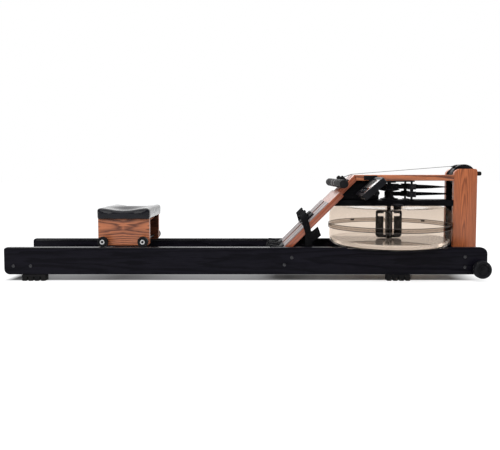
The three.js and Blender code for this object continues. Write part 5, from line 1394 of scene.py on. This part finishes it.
# Blank digit cells in rows, and the rules between them
cells = []
for x, height, count in monitor["rows"]:
    pitch = (yHigh - yLow - 2 * monitor["margin"]) / count
    w, h, t = pitch * 0.27, height / 2, monitor["stroke"]
    strokes = (
        (h - t, h, -w, w), (-h, -h + t, -w, w), (-t / 2, t / 2, -w, w), (-h, h, -w, -w + t), (-h, h, w - t, w),
    )
    for number in range(count):
        y = yLow + monitor["margin"] + pitch * (number + 0.5)
        for start, end, left, right in strokes:
            cells.append(addBlock("cell", (x + start, y + left, face - 0.0001), (x + end, y + right, face)))
for x in monitor["rules"]:
    cells.append(addBlock("rule", (x - 0.0003, yLow + 0.004, face - 0.0001), (x + 0.0003, yHigh - 0.004, face)))
dressOnMonitor(joinPieces("monitorCells", cells), "segments")

# the keys: their light grey is a painted glint
keys = []
half, across = monitor["keyHalf"]
for number in range(-2, 3):
    x, y = monitor["keyX"], number * monitor["keyPitch"]
    key = addBar("key", x - half, x + half, y, across, face - 0.0012, face)
    sinkFace(roundEdges(key, "Z", 0.0055, segments=6), 0.0014, (0, 0, -0.0003))
    keys.append(softenEdges(key, 0.0002, 1))
dressOnMonitor(joinPieces("monitorKeys", keys), "keys")

dressNode("monitor_arm", "monitorArm", 0.0007, 2, "powderSteel", "black_steel", angle=30)
armBolts = []
for x in monitor["bolts"]:
    head = turnPiece("armBolt", points(0, 0, 4.6, 0, 4.6, 1.2, 3.6, 2.2, 1.8, 2.6, 0, 2.6), 24)
    armBolts.append(smoothShade(settle(head, (x, monitor["boltY"], monitor["boltZ"]), (quarter, 0, 0))))
finish(joinPieces("armBolts", armBolts), "powderSteel", "black_steel", "frame")


# Floor: it glows for the camera outside a painted shadow under the machine; there only its dark diffuse colour
# shows, with the lamps' real shadow
print("floor")
clearSelection()
bpy.ops.mesh.primitive_plane_add(size=studio["floorSize"], location=(0, 0, -studio["floorDrop"]))
floor = bpy.context.object
floor.name = "studioFloor"
settle(floor)
floorPaint = bpy.data.materials.new("floorPaint")
floorPaint.use_nodes = True
floorPaint.node_tree.nodes.clear()
rays = addNode(floorPaint, "LightPath").outputs
place = splitPlace(floorPaint, "Object")
# the glow's share: nought in the painted shadow under the machine, rising to one outside it
outsidePaintedShadow = 0.0
for axis, start, end in studio["glow"]:
    outsidePaintedShadow = addMath(floorPaint, "MAXIMUM", outsidePaintedShadow, addRange(floorPaint, place[axis], 0.0, 1.0, start, end))
seen = addMath(floorPaint, "MAXIMUM", rays["Is Camera Ray"], rays["Is Transmission Ray"])
seen = addMath(floorPaint, "MAXIMUM", seen, rays["Is Glossy Ray"])
glow = addMath(floorPaint, "MULTIPLY", addMath(floorPaint, "MULTIPLY", seen, outsidePaintedShadow), studio["floorGlow"])
diffuse = addNode(floorPaint, "BsdfDiffuse", Color=(*studio["floorColour"], 1))
both = joinShaders(floorPaint, "AddShader", diffuse, addNode(floorPaint, "Emission", {"Strength": glow}))
addNode(floorPaint, "OutputMaterial", {"Surface": both.outputs[0]})
floor.data.materials.append(floorPaint)

clearSelection()
